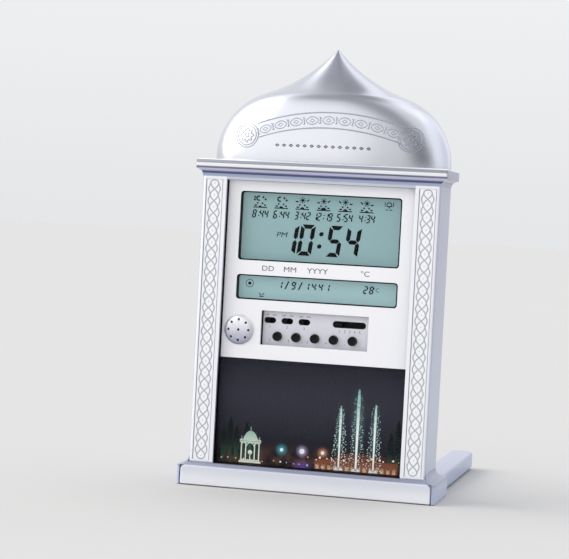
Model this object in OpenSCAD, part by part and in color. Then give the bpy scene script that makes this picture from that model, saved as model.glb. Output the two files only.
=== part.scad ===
// Table clock in the shape of a small domed gateway, with two displays, a
// picture panel, keys, slide switches and a pair of plug-in feet.
// Front faces -Y, +Z is up and the origin is under the middle of base and feet.
// All sizes are in millimetres.

/* [Body] */
// Width of the housing across both pilasters
body_w = 137.6; // [134:0.2:142]
// Height of the housing between base and cornice
body_h = 164.3; // [160:0.1:172]
// Depth of the housing from the pilaster fronts to its rear edge
body_d = 37; // [36:0.5:40]
// Wall of the housing
wall = 2.2; // [1.8:0.1:2.6]
// Thickness of the pilaster fronts
frame_t = 1.8; // [1.4:0.1:2.2]
// Width of one pilaster
pilaster_w = 14.3; // [13.5:0.1:15.5]
// Radius of the upright front edges of the housing
edge_r = 1.8; // [1:0.1:2.4]
// Thickness of the housing's roof
roof_t = 1.5; // [1.2:0.1:2]

/* [Pilaster ornament] */
// Width of the strip that carries the braid
strip_w = 10; // [9:0.1:11]
// Depth of the strip's pocket
strip_t = 1; // [0.8:0.1:1.2]
// Height of one loop of the braid
loop_h = 6.8; // [6:0.1:8]
// Half width of the braid where it is narrow
braid_in = 2.4; // [2:0.1:2.6]
// Half width of the braid where it is wide
braid_out = 3.5; // [3.1:0.1:3.9]
// Width of the engraved line
line_w = 0.7; // [0.5:0.05:0.9]
// Depth of the engraved line
line_depth = 0.4; // [0.3:0.05:0.5]

/* [Base] */
// Overhang of the base beside the housing
base_side = 6.2; // [5.6:0.1:8]
// Overhang of the base in front of the housing
base_front_over = 3; // [2.8:0.1:4]
// Overhang of the base behind the housing
base_back_over = 7; // [6:0.1:10]
// Top of the base block above the table
base_h = 11.4; // [11:0.1:13]
// Wall of the base
base_wall = 2; // [1.6:0.1:2.4]
// Rise of the moulding that carries the housing
base_rise = 1.8; // [1.4:0.1:2.2]
// Radius of the hollow moulding beside the housing
cove_r = 5; // [4:0.1:5.4]
// Thickness of the slab on the front of the base
slab_t = 2.6; // [2.2:0.1:3]
// Height that the rubber pads hold the base off the table
pad_rise = 0.5; // [0.4:0.1:0.8]
// Diameter of the rubber pads under the base
pad_d = 10; // [8:0.5:12]

/* [Feet] */
// Length of a foot behind the base
foot_l = 134; // [120:1:145]
// Width of a foot
foot_w = 14.5; // [13.5:0.1:15.5]
// Distance from the base's side to a foot's outer side
foot_inset = 3; // [2.4:0.1:4]
// Underside of a foot above the table
foot_z = 1.8; // [1.4:0.1:2.2]
// Height of a foot
foot_h = 9.4; // [9:0.1:10]
// Length of the tongue inside the base
tongue_l = 28; // [22:1:32]

/* [Cornice] */
// Overhang of the cornice beside the housing
cornice_side = 3.9; // [3.2:0.1:4.6]
// Height of the cornice
cornice_h = 9.9; // [9.7:0.1:11]
// Overhang of the cornice behind the housing
cornice_back = 5.4; // [4:0.1:7]
// Radius of the round bead along the front
bead_r = 2.75; // [2.4:0.05:2.8]

/* [Dome] */
// How much wider than the housing the dome is
dome_extra = 0.9; // [0:0.1:2]
// Height of the dome
dome_h = 67.4; // [60:0.1:72]
// Radius of the round shoulders
shoulder_r = 40.4; // [36:0.1:43]
// Slope where the shoulder turns into the hollow flank
join_angle = 18; // [15:1:22]
// How far the front bulges forward of the seam
dome_front_d = 28; // [24:0.5:29]
// How far the back bulges behind the seam
dome_back_d = 9.5; // [8:0.5:10.5]
// Distance of the seam behind the pilaster fronts
dome_seam = 30.3; // [29:0.1:32]
// Wall of the dome shells
dome_t = 2; // [1.6:0.1:2.4]

/* [Front panel] */
// Distance of the front panel behind the pilaster fronts
panel_recess = 4.2; // [3.8:0.1:4.6]
// Thickness of the front panel
panel_t = 1.6; // [1.4:0.1:1.8]
// Gap between the panel's sides and the opening
side_gap = 0.5; // [0.3:0.1:0.7]
// Width of the panel beside a window
window_side = 7.7; // [7.3:0.1:10]
// Height of the panel over the upper window
top_margin = 6; // [5:0.1:8]
// Height of the upper window
upper_h = 39.4; // [36:0.1:41]
// Height of the panel between the windows
window_gap = 8.2; // [7.4:0.1:10]
// Height of the lower window
lower_h = 14.2; // [12:0.1:16]
// Height of the panel between the lower window and the controls
recess_gap = 5.8; // [5.5:0.1:8]
// Height of the panel under the controls
panel_foot = 8.4; // [7:0.1:11]
// Corner radius of the windows
window_r = 1.8; // [1:0.1:2.4]
// Width of the black rim inside a window
rim_w = 0.7; // [0.5:0.1:0.9]
// Depth of the window rim
rim_depth = 3.5; // [3.2:0.1:3.8]
// Border of display glass hidden behind the panel
glass_border = 1.5; // [1.3:0.1:1.6]
// Thickness of the window lens
lens_t = 1; // [0.8:0.1:1.2]
// Thickness of the display glass
glass_t = 1.8; // [1.6:0.1:2]
// Thickness of the lit panel behind a display
light_t = 2.5; // [2:0.1:2.8]

/* [Controls] */
// Width of the recess for the controls
recess_w = 62.4; // [60:0.2:63]
// Height of the recess for the controls
recess_h = 19.6; // [19:0.1:21]
// Depth of the control plate behind the front panel
recess_depth = 3.4; // [3.2:0.1:3.8]
// Thickness of the control plate
plate_t = 1.2; // [1:0.1:1.4]
// Diameter of a key
key_d = 5; // [4.4:0.1:5.4]
// Distance between keys
key_pitch = 10.95; // [10:0.05:11.4]
// Height of the key row below the middle of the recess
key_drop = 4.7; // [4.5:0.1:5.4]
// How far a key stands out of the control plate
key_out = 2.5; // [2:0.1:2.9]
// Travel of a key
key_travel = 0.8; // [0.6:0.1:1]
// Height of a small switch slot
slot_h = 3.4; // [3:0.1:3.8]
// Distance between the small switches
slot_pitch = 10; // [9.8:0.1:11]
// Distance from the recess's left side to the first small switch
slot_side = 4.6; // [4.6:0.1:6]
// Height of the switch row above the middle of the recess
slot_rise = 4.3; // [4.2:0.1:5]
// Length of the long slot
long_l = 19.3; // [18:0.1:19.6]
// Distance from the recess's right side to the middle of the long slot
long_side = 11.6; // [10.6:0.1:12]
// Travel of a small switch
switch_travel = 3; // [2.4:0.1:3.2]
// Travel of the long slider
slider_travel = 12; // [10:0.5:13]

/* [Speaker] */
// Diameter of the speaker grille
grille_d = 17.2; // [16:0.1:17.4]
// How far the grille stands out of the panel
grille_out = 1.8; // [1.4:0.1:2.2]
// Distance from the opening's left side to the middle of the speaker
speaker_side = 10.6; // [10.4:0.1:11]
// Height of the speaker's middle below the middle of the controls
speaker_drop = 2; // [0:0.1:4]
// Diameter of the speaker
speaker_d = 18.2; // [17.2:0.1:18.4]
// Distance between the speaker and the tray of the controls
speaker_gap = 2.2; // [1.8:0.1:2.6]
// Diameter of the sound holes
sound_hole_d = 1.4; // [1:0.1:1.6]
// Radius of the ring of sound holes
sound_ring_r = 5.9; // [5.2:0.1:6.2]

/* [Back] */
// Thickness of the back cover
cover_t = 2.6; // [2.4:0.1:3]
// Diameter of a battery
cell_d = 14.2; // [14:0.1:14.5]
// Length of a battery without its nub
cell_l = 49; // [48:0.5:50]
// Number of batteries
cells = 3; // [2:1:3]
// Thickness of the battery door
door_t = 1.6; // [1.4:0.1:1.8]

/* [Fits] */
// Gap between faces that seat on each other
fit = 0.1; // [0.05:0.01:0.15]
// Gap round a piece that slides
run = 0.2; // [0.15:0.01:0.25]

/* [Hidden] */
$fn = 48;
over = 1; // how far a cut runs past the face it opens

// outer sizes
base_w = body_w + 2 * base_side;
base_d = base_front_over + body_d + base_back_over;
cornice_w = body_w + 2 * cornice_side;
dome_w = body_w + dome_extra;
opening_w = body_w - 2 * pilaster_w;
inner_w = body_w - 2 * wall;
window_w = opening_w - 2 * window_side;

// heights, from the top of the front panel down
body_z0 = base_h + base_rise;
body_z1 = body_z0 + body_h;
cornice_z1 = body_z1 + cornice_h;
opening_z1 = body_z1 - roof_t;
upper_c = opening_z1 - top_margin - upper_h / 2;
lower_c = upper_c - upper_h / 2 - window_gap - lower_h / 2;
recess_c = lower_c - lower_h / 2 - recess_gap - recess_h / 2;
panel_z0 = recess_c - recess_h / 2 - panel_foot;
key_z = recess_c - key_drop;
slot_z = recess_c + slot_rise;
sound_z = recess_c - speaker_drop;

// depths, front to back
base_y0 = -(base_d + foot_l) / 2;
base_y1 = base_y0 + base_d;
base_c = base_y0 + base_d / 2;
face_y = base_y0 + base_front_over;
back_y = face_y + body_d;
panel_y = face_y + panel_recess;
panel_y1 = panel_y + panel_t;
lip_t = 1.2;
lip_w = 1.2;
liner_y1 = panel_y1 + fit + lip_t;
liner_wall = 2;
liner_floor = 0.6;
rim_y1 = panel_y + rim_depth;
rim_flange_t = 0.8;
rim_flange_w = 1.3;
lens_y1 = rim_y1 + fit + lens_t;
glass_y1 = lens_y1 + fit + glass_t;
light_y1 = glass_y1 + fit + light_t;
board_t = 1.6;
board_y = light_y1 + fit;
board_y1 = board_y + board_t;
plate_y = panel_y + recess_depth;
plate_y1 = plate_y + plate_t;
switch_y = plate_y1 + fit;
switch_d = 5.8;
switch_y1 = switch_y + switch_d;
key_board_y = switch_y1 + fit;
key_board_y1 = key_board_y + board_t;
cover_y0 = back_y - cover_t;

// screws: coarse ones in the casing, small ones on the boards
screw_d = 2.6;
thread_fit = 0.1;
screw_head_d = 5;
screw_head_t = 1.8;
pilot_d = 2.2;
shank_d = pilot_d - thread_fit;
screw_sink = 0.3;
small_screw_d = 1.8;
small_head_d = 3.2;
small_head_t = 1.2;
small_pilot_d = 1.5;
small_shank_d = small_pilot_d - thread_fit;
post_d = 7;
post_x = (opening_w / 2 + liner_wall + inner_w / 2) / 2;
post_zs = [body_z0 + 12, body_z0 + body_h / 2, body_z1 - 12];
body_screw_x = body_w / 2 - 18.8;
body_screw_y = base_c + 2;
boss_l = 8;
screw_bite = 6;

// displays and their board
panel_w = opening_w - 2 * side_gap;
glass_w = window_w + 2 * glass_border;
holder_wall = 1.2;
holder_w = glass_w + 2 * (run + holder_wall);
holder_z0 = lower_c - lower_h / 2 - glass_border - run - holder_wall;
holder_z1 = upper_c + upper_h / 2 + glass_border + run + holder_wall;
holder_y = panel_y1 + rim_flange_t + fit;
boss_d = 3;
boss_gap = 0.9;
boss_x = glass_w / 2 + run + boss_gap + boss_d / 2;
boss_zs = [lower_c, upper_c + upper_h / 3];
board_w = 2 * boss_x + boss_d + 1;
contact_h = 1.3;
contact_inset = 4;
chip_w = 14;
chip_t = 1.7;
chip_gap = 9;
capacitor_d = 5;
capacitor_l = 6.4;
crystal_w = 3.6;

// controls
tray_wall = 1.4;
tray_h = recess_h + 2;
speaker_x = -opening_w / 2 + speaker_side;
recess_x = speaker_x + speaker_d / 2 + speaker_gap + tray_wall + recess_w / 2;
slot_xs = [for (i = [0:2]) recess_x - recess_w / 2 + slot_side + i * slot_pitch];
key_xs = [for (i = [-2:2]) recess_x + i * key_pitch];
long_x = recess_x + recess_w / 2 - long_side;
key_flange_t = 0.8;
key_flange_w = 0.8;
key_stem_d = 2.4;
key_stem_in = 1;
tact_size = 6;
tact_h = 3.1;
tact_y = key_board_y - fit - tact_h;
knob_w = 2.8;
knob_h = 2.2;
slot_end = 0.5;
slot_l = switch_travel + knob_w + 2 * slot_end;
switch_wall = 1.5;
switch_side = 1.7;
slider_w = 4;
knob_root = 2.6;
knob_out = 0.5;
knob_rib = 0.3;

// speaker
speaker_y = panel_y1 + fit;
basket_d = 3.6;
magnet_d = 9;
magnet_t = 2.4;
grille_lap = 1;
grille_skirt = 0.8;
grille_shell = 1;

// picture
picture_w = opening_w - 2 * run;
picture_z0 = body_z0 + liner_floor + 2 * fit;
picture_z1 = panel_z0 - fit;
print_t = 0.3;

// base
flange_t = 1.7;
flange_step = 0.3;
slab_gap = 0.7;
slab_w = base_w - 2 * (flange_t + slab_gap);
slab_r = 3;
moulding_in = 1.1;
deck_z = base_h - base_wall;
cover_plate_t = 1.2;
cover_plate_z = pad_rise + 0.2;
pad_x = base_w / 2 - 22;
pad_y = base_d / 2 - slab_t - base_wall - run - pad_d / 2 - 0.5;
cover_screw_x = base_w / 2 - 34;

// feet
foot_x = base_w / 2 - foot_inset - foot_w / 2;
foot_y0 = base_y1 + run;
foot_tip_y = base_y1 + foot_l;
foot_z1 = foot_z + foot_h;
foot_edge_r = 1.2;
foot_wall = 1.8;
foot_ribs = 5;
foot_pad_d = 9;
tongue_w = 10.4;
tongue_h = 5;
socket_wall = 1.4;
tongue_z = deck_z - tongue_h - 0.7;

// pilaster strips and their braid
foot_groove = 1.1;
foot_groove_h = 0.7;
strip_end = 1.6;
strip_l = body_h - 2 * strip_end;
strip_inset = 0.3;
arch_h = 1.8;
border_w = 0.45;
dot_d = 0.6;
braid_n = floor((strip_l - 2 * arch_h - line_w) / loop_h);
braid_z0 = body_z0 + body_h / 2 - braid_n * loop_h / 2;
wave_steps = 6;

// cornice
cove_drop = 4.2;
cornice_edge_r = 1.6;
cornice_end_r = 2.6;
spigot_w = 100;
spigot_front = 12;
spigot_back = 4;
spigot_h = 3;

// dome: shoulder arc, then a hollow flank that meets the tip
dome_y = face_y + dome_seam;
shoulder_x = dome_w / 2 - shoulder_r;
shoulder_z = 1.8;
join_x = shoulder_x + shoulder_r * sin(join_angle);
join_z = shoulder_z + shoulder_r * cos(join_angle);
flank_turn = atan2(dome_h - join_z, join_x) - join_angle;
flank_r = norm([join_x, dome_h - join_z]) / (2 * sin(flank_turn));
dome_rows = 26;
dome_cols = 28;
front_power = 2.5;
skin_power = 2.2;
tip_power = 0.72;
tip_cut = 0.996;

// back and batteries
cell_gap = 0.7;
cell_pitch = cell_d + cell_gap;
nub_d = 5.4;
nub_l = 1.2;
contact_t = 0.4;
contact_room = 2.6;
contact_w = 10;
leaf_w = 4;
bay_w = cell_l + 2 * contact_room;
bay_h = cells * cell_pitch;
bay_z0 = body_z0 + 10;
bay_wall = 2.2;
bay_c = bay_z0 + bay_h / 2;
door_w = bay_w + 3;
door_h = bay_h + 4;
door_y1 = back_y - 0.3;
door_y0 = door_y1 - door_t;
bay_y1 = door_y0 - run;
bay_y0 = bay_y1 - cell_d - 2 * run;
bay_mid = (bay_y0 + bay_y1) / 2;
door_z0 = bay_c - door_h / 2;
hinge_y = (door_y0 + door_y1) / 2;
hinge_z = door_z0 + door_t / 2;
hinge_fit = 0.05;
hinge_pin_l = 1.2;
grip_w = 16;

// A flat shape drawn in X and Z, thick from y0 to y1
module slab(y0, y1) {
    translate([0, y1, 0]) rotate([90, 0, 0]) linear_extrude(height = y1 - y0) children();
}

// A rectangle with round corners about its middle
module round_rect(w, h, r) {
    square([w - 2 * r, h], center = true);
    square([w, h - 2 * r], center = true);
    for (x = [-1, 1], y = [-1, 1])
        translate([x * (w / 2 - r), y * (h / 2 - r)]) circle(r);
}

// A slot shape with round ends
module stadium(l, h) {
    square([l - h, h], center = true);
    for (x = [-1, 1]) translate([x * (l - h) / 2, 0]) circle(h / 2);
}

// A round bar along Y
module rod(x, z, d, y0, y1) {
    translate([x, y1, z]) rotate([90, 0, 0]) cylinder(d = d, h = y1 - y0);
}

// A cross-headed screw with the underside of its head at the origin, shank up
module screw(shank_l, thread_d, head_d, head_t) {
    difference() {
        union() {
            cylinder(d = thread_d, h = shank_l);
            translate([0, 0, -head_t]) cylinder(d = head_d, h = head_t);
        }
        for (turn = [0, 90]) rotate(turn)
            translate([-head_d * 0.32, -head_d * 0.07, -head_t - over])
                cube([head_d * 0.64, head_d * 0.14, over + head_t * 0.55]);
    }
}

// ---------------------------------------------------------------- base

// Outline of the base seen from the front, with hollows up to the housing
module base_front_view() {
    side = body_w / 2 + fit;
    difference() {
        union() {
            translate([-base_w / 2, pad_rise]) square([base_w, base_h - pad_rise]);
            translate([-side - cove_r, base_h]) square([2 * (side + cove_r), cove_r]);
        }
        for (x = [-1, 1])
            translate([x * (side + cove_r), base_h + cove_r]) circle(cove_r);
    }
}

// Outline of the base seen from the side
module base_side_view() {
    rear = back_y + fit;
    difference() {
        polygon([
            [base_y0 + slab_t + fit, pad_rise], [base_y0 + slab_t + fit, base_h],
            [base_y0 + moulding_in, base_h], [face_y - fit, body_z0],
            [face_y + base_rise, base_h + cove_r], [base_y1, base_h + cove_r],
            [base_y1, pad_rise]]);
        translate([rear + cove_r, base_h + cove_r]) circle(cove_r);
        translate([rear + cove_r, base_h]) square([over + base_d, cove_r + over]);
    }
}

module base_shell() color("gainsboro") difference() {
    union() {
        difference() {
            union() {
                intersection() {
                    slab(base_y0, base_y1) base_front_view();
                    rotate([90, 0, 90]) translate([0, 0, -base_w / 2])
                        linear_extrude(height = base_w) base_side_view();
                }
                // end flanges beside the front slab
                for (x = [-1, 1]) translate([x * (base_w / 2 - flange_t / 2), base_y0 + flange_step + flange_t, pad_rise]) {
                    translate([-flange_t / 2, 0, 0]) cube([flange_t, slab_t, base_h - pad_rise]);
                    intersection() {
                        translate([-x * flange_t / 2, 0, 0]) cylinder(r = flange_t, h = base_h - pad_rise);
                        translate([-flange_t / 2, -flange_t, 0]) cube([flange_t, flange_t, base_h - pad_rise]);
                    }
                }
            }
            // hollow underside
            translate([-base_w / 2 + base_wall, base_y0 + slab_t + base_wall, pad_rise - over])
                cube([base_w - 2 * base_wall, base_d - slab_t - 2 * base_wall, deck_z - pad_rise + over]);
            // seat of the housing
            translate([-body_w / 2 - fit, face_y - fit, body_z0])
                cube([body_w + 2 * fit, body_d + 2 * fit, cove_r + over]);
        }
        // sockets for the feet and bosses for the bottom plate
        for (x = [-1, 1]) {
            translate([x * foot_x - tongue_w / 2 - socket_wall, base_y1 - tongue_l - 2 * socket_wall,
                    tongue_z - socket_wall])
                cube([tongue_w + 2 * socket_wall, tongue_l + 2 * socket_wall - base_wall / 2,
                    deck_z - tongue_z + socket_wall + base_wall / 2]);
            translate([x * cover_screw_x, base_c, cover_plate_z + cover_plate_t + fit])
                cylinder(d = post_d, h = deck_z - cover_plate_z - cover_plate_t);
        }
    }
    for (x = [-1, 1]) {
        // tongue sockets, open at the rear
        translate([x * foot_x - tongue_w / 2 - run, base_y1 - tongue_l - run, tongue_z - run])
            cube([tongue_w + 2 * run, tongue_l + run + over, tongue_h + 2 * run]);
        translate([x * cover_screw_x, base_c, -over]) cylinder(d = pilot_d, h = deck_z + over);
        // clearance holes for the screws into the housing
        translate([x * body_screw_x, body_screw_y, 0]) cylinder(d = screw_d + 2 * run, h = body_z0 + over);
    }
}

module base_front() color("white")
    slab(base_y0, base_y0 + slab_t) difference() {
        translate([0, (base_h + pad_rise) / 2]) square([slab_w, base_h - pad_rise], center = true);
        for (x = [-1, 1]) translate([x * (slab_w / 2 - slab_r), base_h - slab_r]) difference() {
            translate([x > 0 ? 0 : -slab_r - over, 0]) square([slab_r + over, slab_r + over]);
            circle(slab_r);
        }
    }

module base_cover() color("lightgray") difference() {
    translate([-base_w / 2 + base_wall + run, base_y0 + slab_t + base_wall + run, cover_plate_z])
        cube([base_w - 2 * (base_wall + run), base_d - slab_t - 2 * (base_wall + run), cover_plate_t]);
    for (x = [-1, 1])
        translate([x * cover_screw_x, base_c, cover_plate_z - over])
            cylinder(d = screw_d + 2 * run, h = cover_plate_t + 2 * over);
}

module base_pads() color("dimgray")
    for (x = [-1, 1], y = [-1, 1])
        translate([x * pad_x, base_c + slab_t / 2 + y * pad_y, 0])
            cylinder(d = pad_d, h = cover_plate_z);

module base_screws() color("silver") {
    for (x = [-1, 1]) {
        translate([x * cover_screw_x, base_c, cover_plate_z])
            screw(5, shank_d, screw_head_d, cover_plate_z - fit);
        translate([x * body_screw_x, body_screw_y, deck_z])
            screw(body_z0 - deck_z + screw_bite, shank_d, screw_head_d, screw_head_t);
    }
}

// ---------------------------------------------------------------- feet

// Half of a foot's cross-section, from its middle line to its outer side
module foot_half_section() {
    r = foot_edge_r;
    difference() {
        translate([0, foot_z]) square([foot_w / 2, foot_h]);
        translate([foot_w / 2 - r, foot_z1 - r]) difference() {
            square([r + over, r + over]);
            circle(r);
        }
    }
}

module foot(side) {
    tip_c = foot_tip_y - foot_w / 2;
    bay = (tip_c - foot_y0 - foot_wall) / foot_ribs;
    translate([side * foot_x, 0, 0]) difference() {
        union() {
            translate([0, tip_c, 0]) rotate([90, 0, 0]) linear_extrude(height = tip_c - foot_y0) {
                foot_half_section();
                mirror([1, 0]) foot_half_section();
            }
            translate([0, tip_c, 0]) rotate_extrude() foot_half_section();
            translate([-tongue_w / 2, base_y1 - tongue_l, tongue_z])
                cube([tongue_w, tongue_l + 2, tongue_h]);
        }
        // open bays between the ribs on the underside
        for (i = [0:foot_ribs - 1])
            translate([-foot_w / 2 + foot_wall, foot_y0 + foot_wall + i * bay, foot_z - over])
                cube([foot_w - 2 * foot_wall, bay - foot_wall, foot_h - foot_wall + over]);
    }
}

module foot_pad(side) {
    translate([side * foot_x, foot_tip_y - foot_w / 2, 0]) cylinder(d = foot_pad_d, h = foot_z);
}

// ------------------------------------------------------------- housing

// Plan of the housing, with round front edges
module body_plan() {
    translate([-body_w / 2, face_y + edge_r]) square([body_w, body_d - edge_r]);
    translate([-body_w / 2 + edge_r, face_y]) square([body_w - 2 * edge_r, edge_r]);
    for (x = [-1, 1]) translate([x * (body_w / 2 - edge_r), face_y + edge_r]) circle(edge_r);
}

module front_housing() color("gainsboro") difference() {
    union() {
        intersection() {
            translate([0, 0, body_z0]) linear_extrude(height = body_h) body_plan();
            union() {
                slab(face_y, back_y) difference() {
                    translate([-body_w / 2, body_z0]) square([body_w, body_h]);
                    translate([-inner_w / 2, body_z0 - over]) square([inner_w, body_h - roof_t + over]);
                }
                slab(face_y, face_y + frame_t) difference() {
                    translate([-body_w / 2, body_z0]) square([body_w, body_h]);
                    translate([-opening_w / 2, body_z0 - over]) square([opening_w, opening_z1 - body_z0 + over]);
                }
            }
        }
        // floor behind the picture
        translate([-inner_w / 2 - wall / 2, liner_y1 + run, body_z0])
            cube([inner_w + wall, back_y - liner_y1 - run, wall]);
        for (x = [-1, 1]) {
            for (z = post_zs) rod(x * post_x, z, post_d, face_y + frame_t / 2, cover_y0 - fit);
            translate([x * body_screw_x, body_screw_y, body_z0]) cylinder(d = post_d, h = boss_l);
        }
    }
    // shadow groove over the base
    slab(face_y - over, face_y + foot_groove) translate([-body_w / 2 - over, body_z0 - over])
        square([body_w + 2 * over, foot_groove_h + over]);
    for (x = [-1, 1]) {
        // pockets for the ornamental strips
        translate([x * (body_w - pilaster_w) / 2, 0, 0]) slab(face_y - over, face_y + strip_t)
            translate([-strip_w / 2, body_z0 + strip_end]) square([strip_w, strip_l]);
        for (z = post_zs) rod(x * post_x, z, pilot_d, back_y - 14, back_y);
        translate([x * body_screw_x, body_screw_y, body_z0 - over]) cylinder(d = pilot_d, h = boss_l);
        translate([x * body_screw_x, body_screw_y, opening_z1 - over])
            cylinder(d = screw_d + 2 * run, h = roof_t + 2 * over);
    }
}

// Half the width of a line, measured level, where it passes point i of p
function level_half(p, i) =
    let (a = p[max(i - 1, 0)], b = p[min(i + 1, len(p) - 1)]) line_w / 2 * norm(b - a) / (b[1] - a[1]);

// One line of the braid, wide as line_w, given its middle points going up
module braid_line(p) {
    n = len(p) - 1;
    polygon(concat([for (i = [0:n]) [p[i][0] - level_half(p, i), p[i][1]]],
                   [for (i = [n:-1:0]) [p[i][0] + level_half(p, i), p[i][1]]]));
}

// The arch that closes the braid at one end
module braid_arch(z, way)
    polygon(concat(
        [for (t = [0:15:180]) [(braid_in + line_w / 2) * cos(t), z + way * (arch_h + line_w / 2) * sin(t)]],
        [for (t = [180:-15:0]) [(braid_in - line_w / 2) * cos(t), z + way * (arch_h - line_w / 2) * sin(t)]]));

// The crossing strands inside, and the wavy ones outside them
function strand(flip) = [for (i = [0:braid_n * wave_steps])
    [flip * braid_in * cos(180 * i / wave_steps), braid_z0 + i * loop_h / wave_steps]];
function wave(flip) = [for (i = [0:braid_n * wave_steps])
    [flip * (braid_in + (braid_out - braid_in) * pow(sin(180 * i / wave_steps), 2)),
     braid_z0 + i * loop_h / wave_steps]];

module pilaster(side)
    translate([side * (body_w - pilaster_w) / 2, 0, 0]) difference() {
        slab(face_y + strip_inset, face_y + strip_t - fit / 2)
            translate([-strip_w / 2 + fit / 2, body_z0 + strip_end + fit / 2])
                square([strip_w - fit, strip_l - fit]);
        slab(face_y - over, face_y + strip_inset + line_depth) {
            for (flip = [-1, 1]) {
                braid_line(strand(flip));
                braid_line(wave(flip));
                translate([flip * (strip_w / 2 - border_w / 2) - border_w / 2, body_z0])
                    square([border_w, body_h]);
            }
            braid_arch(braid_z0, -1);
            braid_arch(braid_z0 + braid_n * loop_h, 1);
            for (i = [0:braid_n]) translate([0, braid_z0 + i * loop_h]) circle(d = dot_d);
        }
    }

// ---------------------------------------------------- recess and panel

// Black frame behind the pilasters: a sleeve with a lip that backs the panel
module panel_liner() color("black") {
    z0 = body_z0 + fit;
    h = opening_z1 - fit - z0;
    slab(face_y + frame_t + fit, liner_y1) difference() {
        translate([-opening_w / 2 - liner_wall, z0]) square([opening_w + 2 * liner_wall, h]);
        translate([-opening_w / 2, z0 + liner_floor]) square([opening_w, h]);
    }
    slab(panel_y1 + fit, liner_y1) difference() {
        translate([-opening_w / 2 - liner_wall / 2, z0]) square([opening_w + liner_wall, h]);
        translate([-opening_w / 2 + lip_w, z0 + lip_w]) square([opening_w - 2 * lip_w, h - 2 * lip_w]);
    }
}

module front_panel() color("white") difference() {
    union() {
        slab(panel_y, panel_y1)
            translate([-panel_w / 2, panel_z0]) square([panel_w, opening_z1 - fit - panel_z0]);
        for (x = [-1, 1], z = boss_zs) rod(x * boss_x, z, boss_d, panel_y1 - over / 2, board_y - fit);
    }
    slab(panel_y - over, panel_y1 + over) {
        translate([0, upper_c]) round_rect(window_w, upper_h, window_r);
        translate([0, lower_c]) round_rect(window_w, lower_h, window_r);
        translate([recess_x, recess_c]) square([recess_w, recess_h], center = true);
    }
    rod(speaker_x, sound_z, grille_d - 2 * grille_lap, panel_y - over, panel_y1 + over);
    for (x = [-1, 1], z = boss_zs) rod(x * boss_x, z, small_pilot_d, board_y - 5, board_y);
}

module rim(z, h) {
    slab(panel_y, rim_y1) translate([0, z]) difference() {
        round_rect(window_w - fit, h - fit, window_r - fit / 2);
        round_rect(window_w - 2 * rim_w, h - 2 * rim_w, window_r - rim_w / 2);
    }
    slab(panel_y1 + fit / 2, panel_y1 + rim_flange_t) translate([0, z]) difference() {
        square([window_w + 2 * rim_flange_w, h + 2 * rim_flange_w], center = true);
        round_rect(window_w - 2 * rim_w, h - 2 * rim_w, window_r - rim_w / 2);
    }
}

module window_pane(z, h, y0, y1) {
    slab(y0, y1) translate([0, z]) square([glass_w, h + 2 * glass_border], center = true);
}

module display_holder() color("ivory") difference() {
    slab(holder_y, light_y1)
        translate([-holder_w / 2, holder_z0]) square([holder_w, holder_z1 - holder_z0]);
    for (w = [[upper_c, upper_h], [lower_c, lower_h]]) {
        slab(panel_y, light_y1 + over) translate([0, w[0]])
            square([window_w + 2 * fit, w[1] + 2 * fit], center = true);
        slab(rim_y1 + fit / 2, light_y1 + over) translate([0, w[0]])
            square([glass_w + 2 * run, w[1] + 2 * (glass_border + run)], center = true);
    }
    for (x = [-1, 1], z = boss_zs) rod(x * boss_x, z, boss_d + 2 * run, panel_y, board_y + over);
}

// Conductive strips that join each display's glass to the board
module contact_strips() color("pink")
    for (z = [upper_c - upper_h / 2 - glass_border, lower_c + lower_h / 2 + glass_border - contact_h])
        slab(glass_y1 + fit, light_y1) translate([-glass_w / 2 + contact_inset, z])
            square([glass_w - 2 * contact_inset, contact_h]);

module light_panel(z, h, up) {
    slab(glass_y1 + fit, light_y1)
        translate([-glass_w / 2, z - h / 2 - glass_border + (up ? contact_h + fit : 0)])
            square([glass_w, h + 2 * glass_border - contact_h - fit]);
}

module main_board() color("darkgreen") difference() {
    slab(board_y, board_y1)
        translate([-board_w / 2, holder_z0]) square([board_w, holder_z1 - holder_z0]);
    for (x = [-1, 1], z = boss_zs) rod(x * boss_x, z, small_screw_d + run, board_y - over, board_y1 + over);
}

module board_chips() color("black") {
    y = board_y1 + fit / 2;
    // flat chips: two for the upper display and one for the lower
    slab(y, y + chip_t) {
        translate([-chip_w - chip_gap, upper_c - chip_w / 2]) square([chip_w, chip_w]);
        translate([chip_gap, upper_c - chip_w / 4]) square([chip_w * 0.7, chip_w / 2]);
        translate([-chip_gap, lower_c - chip_w / 5]) square([chip_w * 0.6, chip_w * 0.4]);
    }
    // capacitors and the quartz crystal
    for (x = [-board_w / 3, -board_w / 3 + capacitor_d * 1.3, board_w / 3])
        rod(x, upper_c, capacitor_d, y, y + capacitor_l);
    slab(y, y + crystal_w * 0.7) translate([board_w / 4, lower_c]) stadium(crystal_w * 2.5, crystal_w);
}

module board_screws() color("silver")
    for (x = [-1, 1], z = boss_zs)
        translate([x * boss_x, board_y1, z]) rotate([90, 0, 0])
            screw(board_t + 4, small_shank_d, small_head_d, small_head_t);

// -------------------------------------------------------------- speaker

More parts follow.
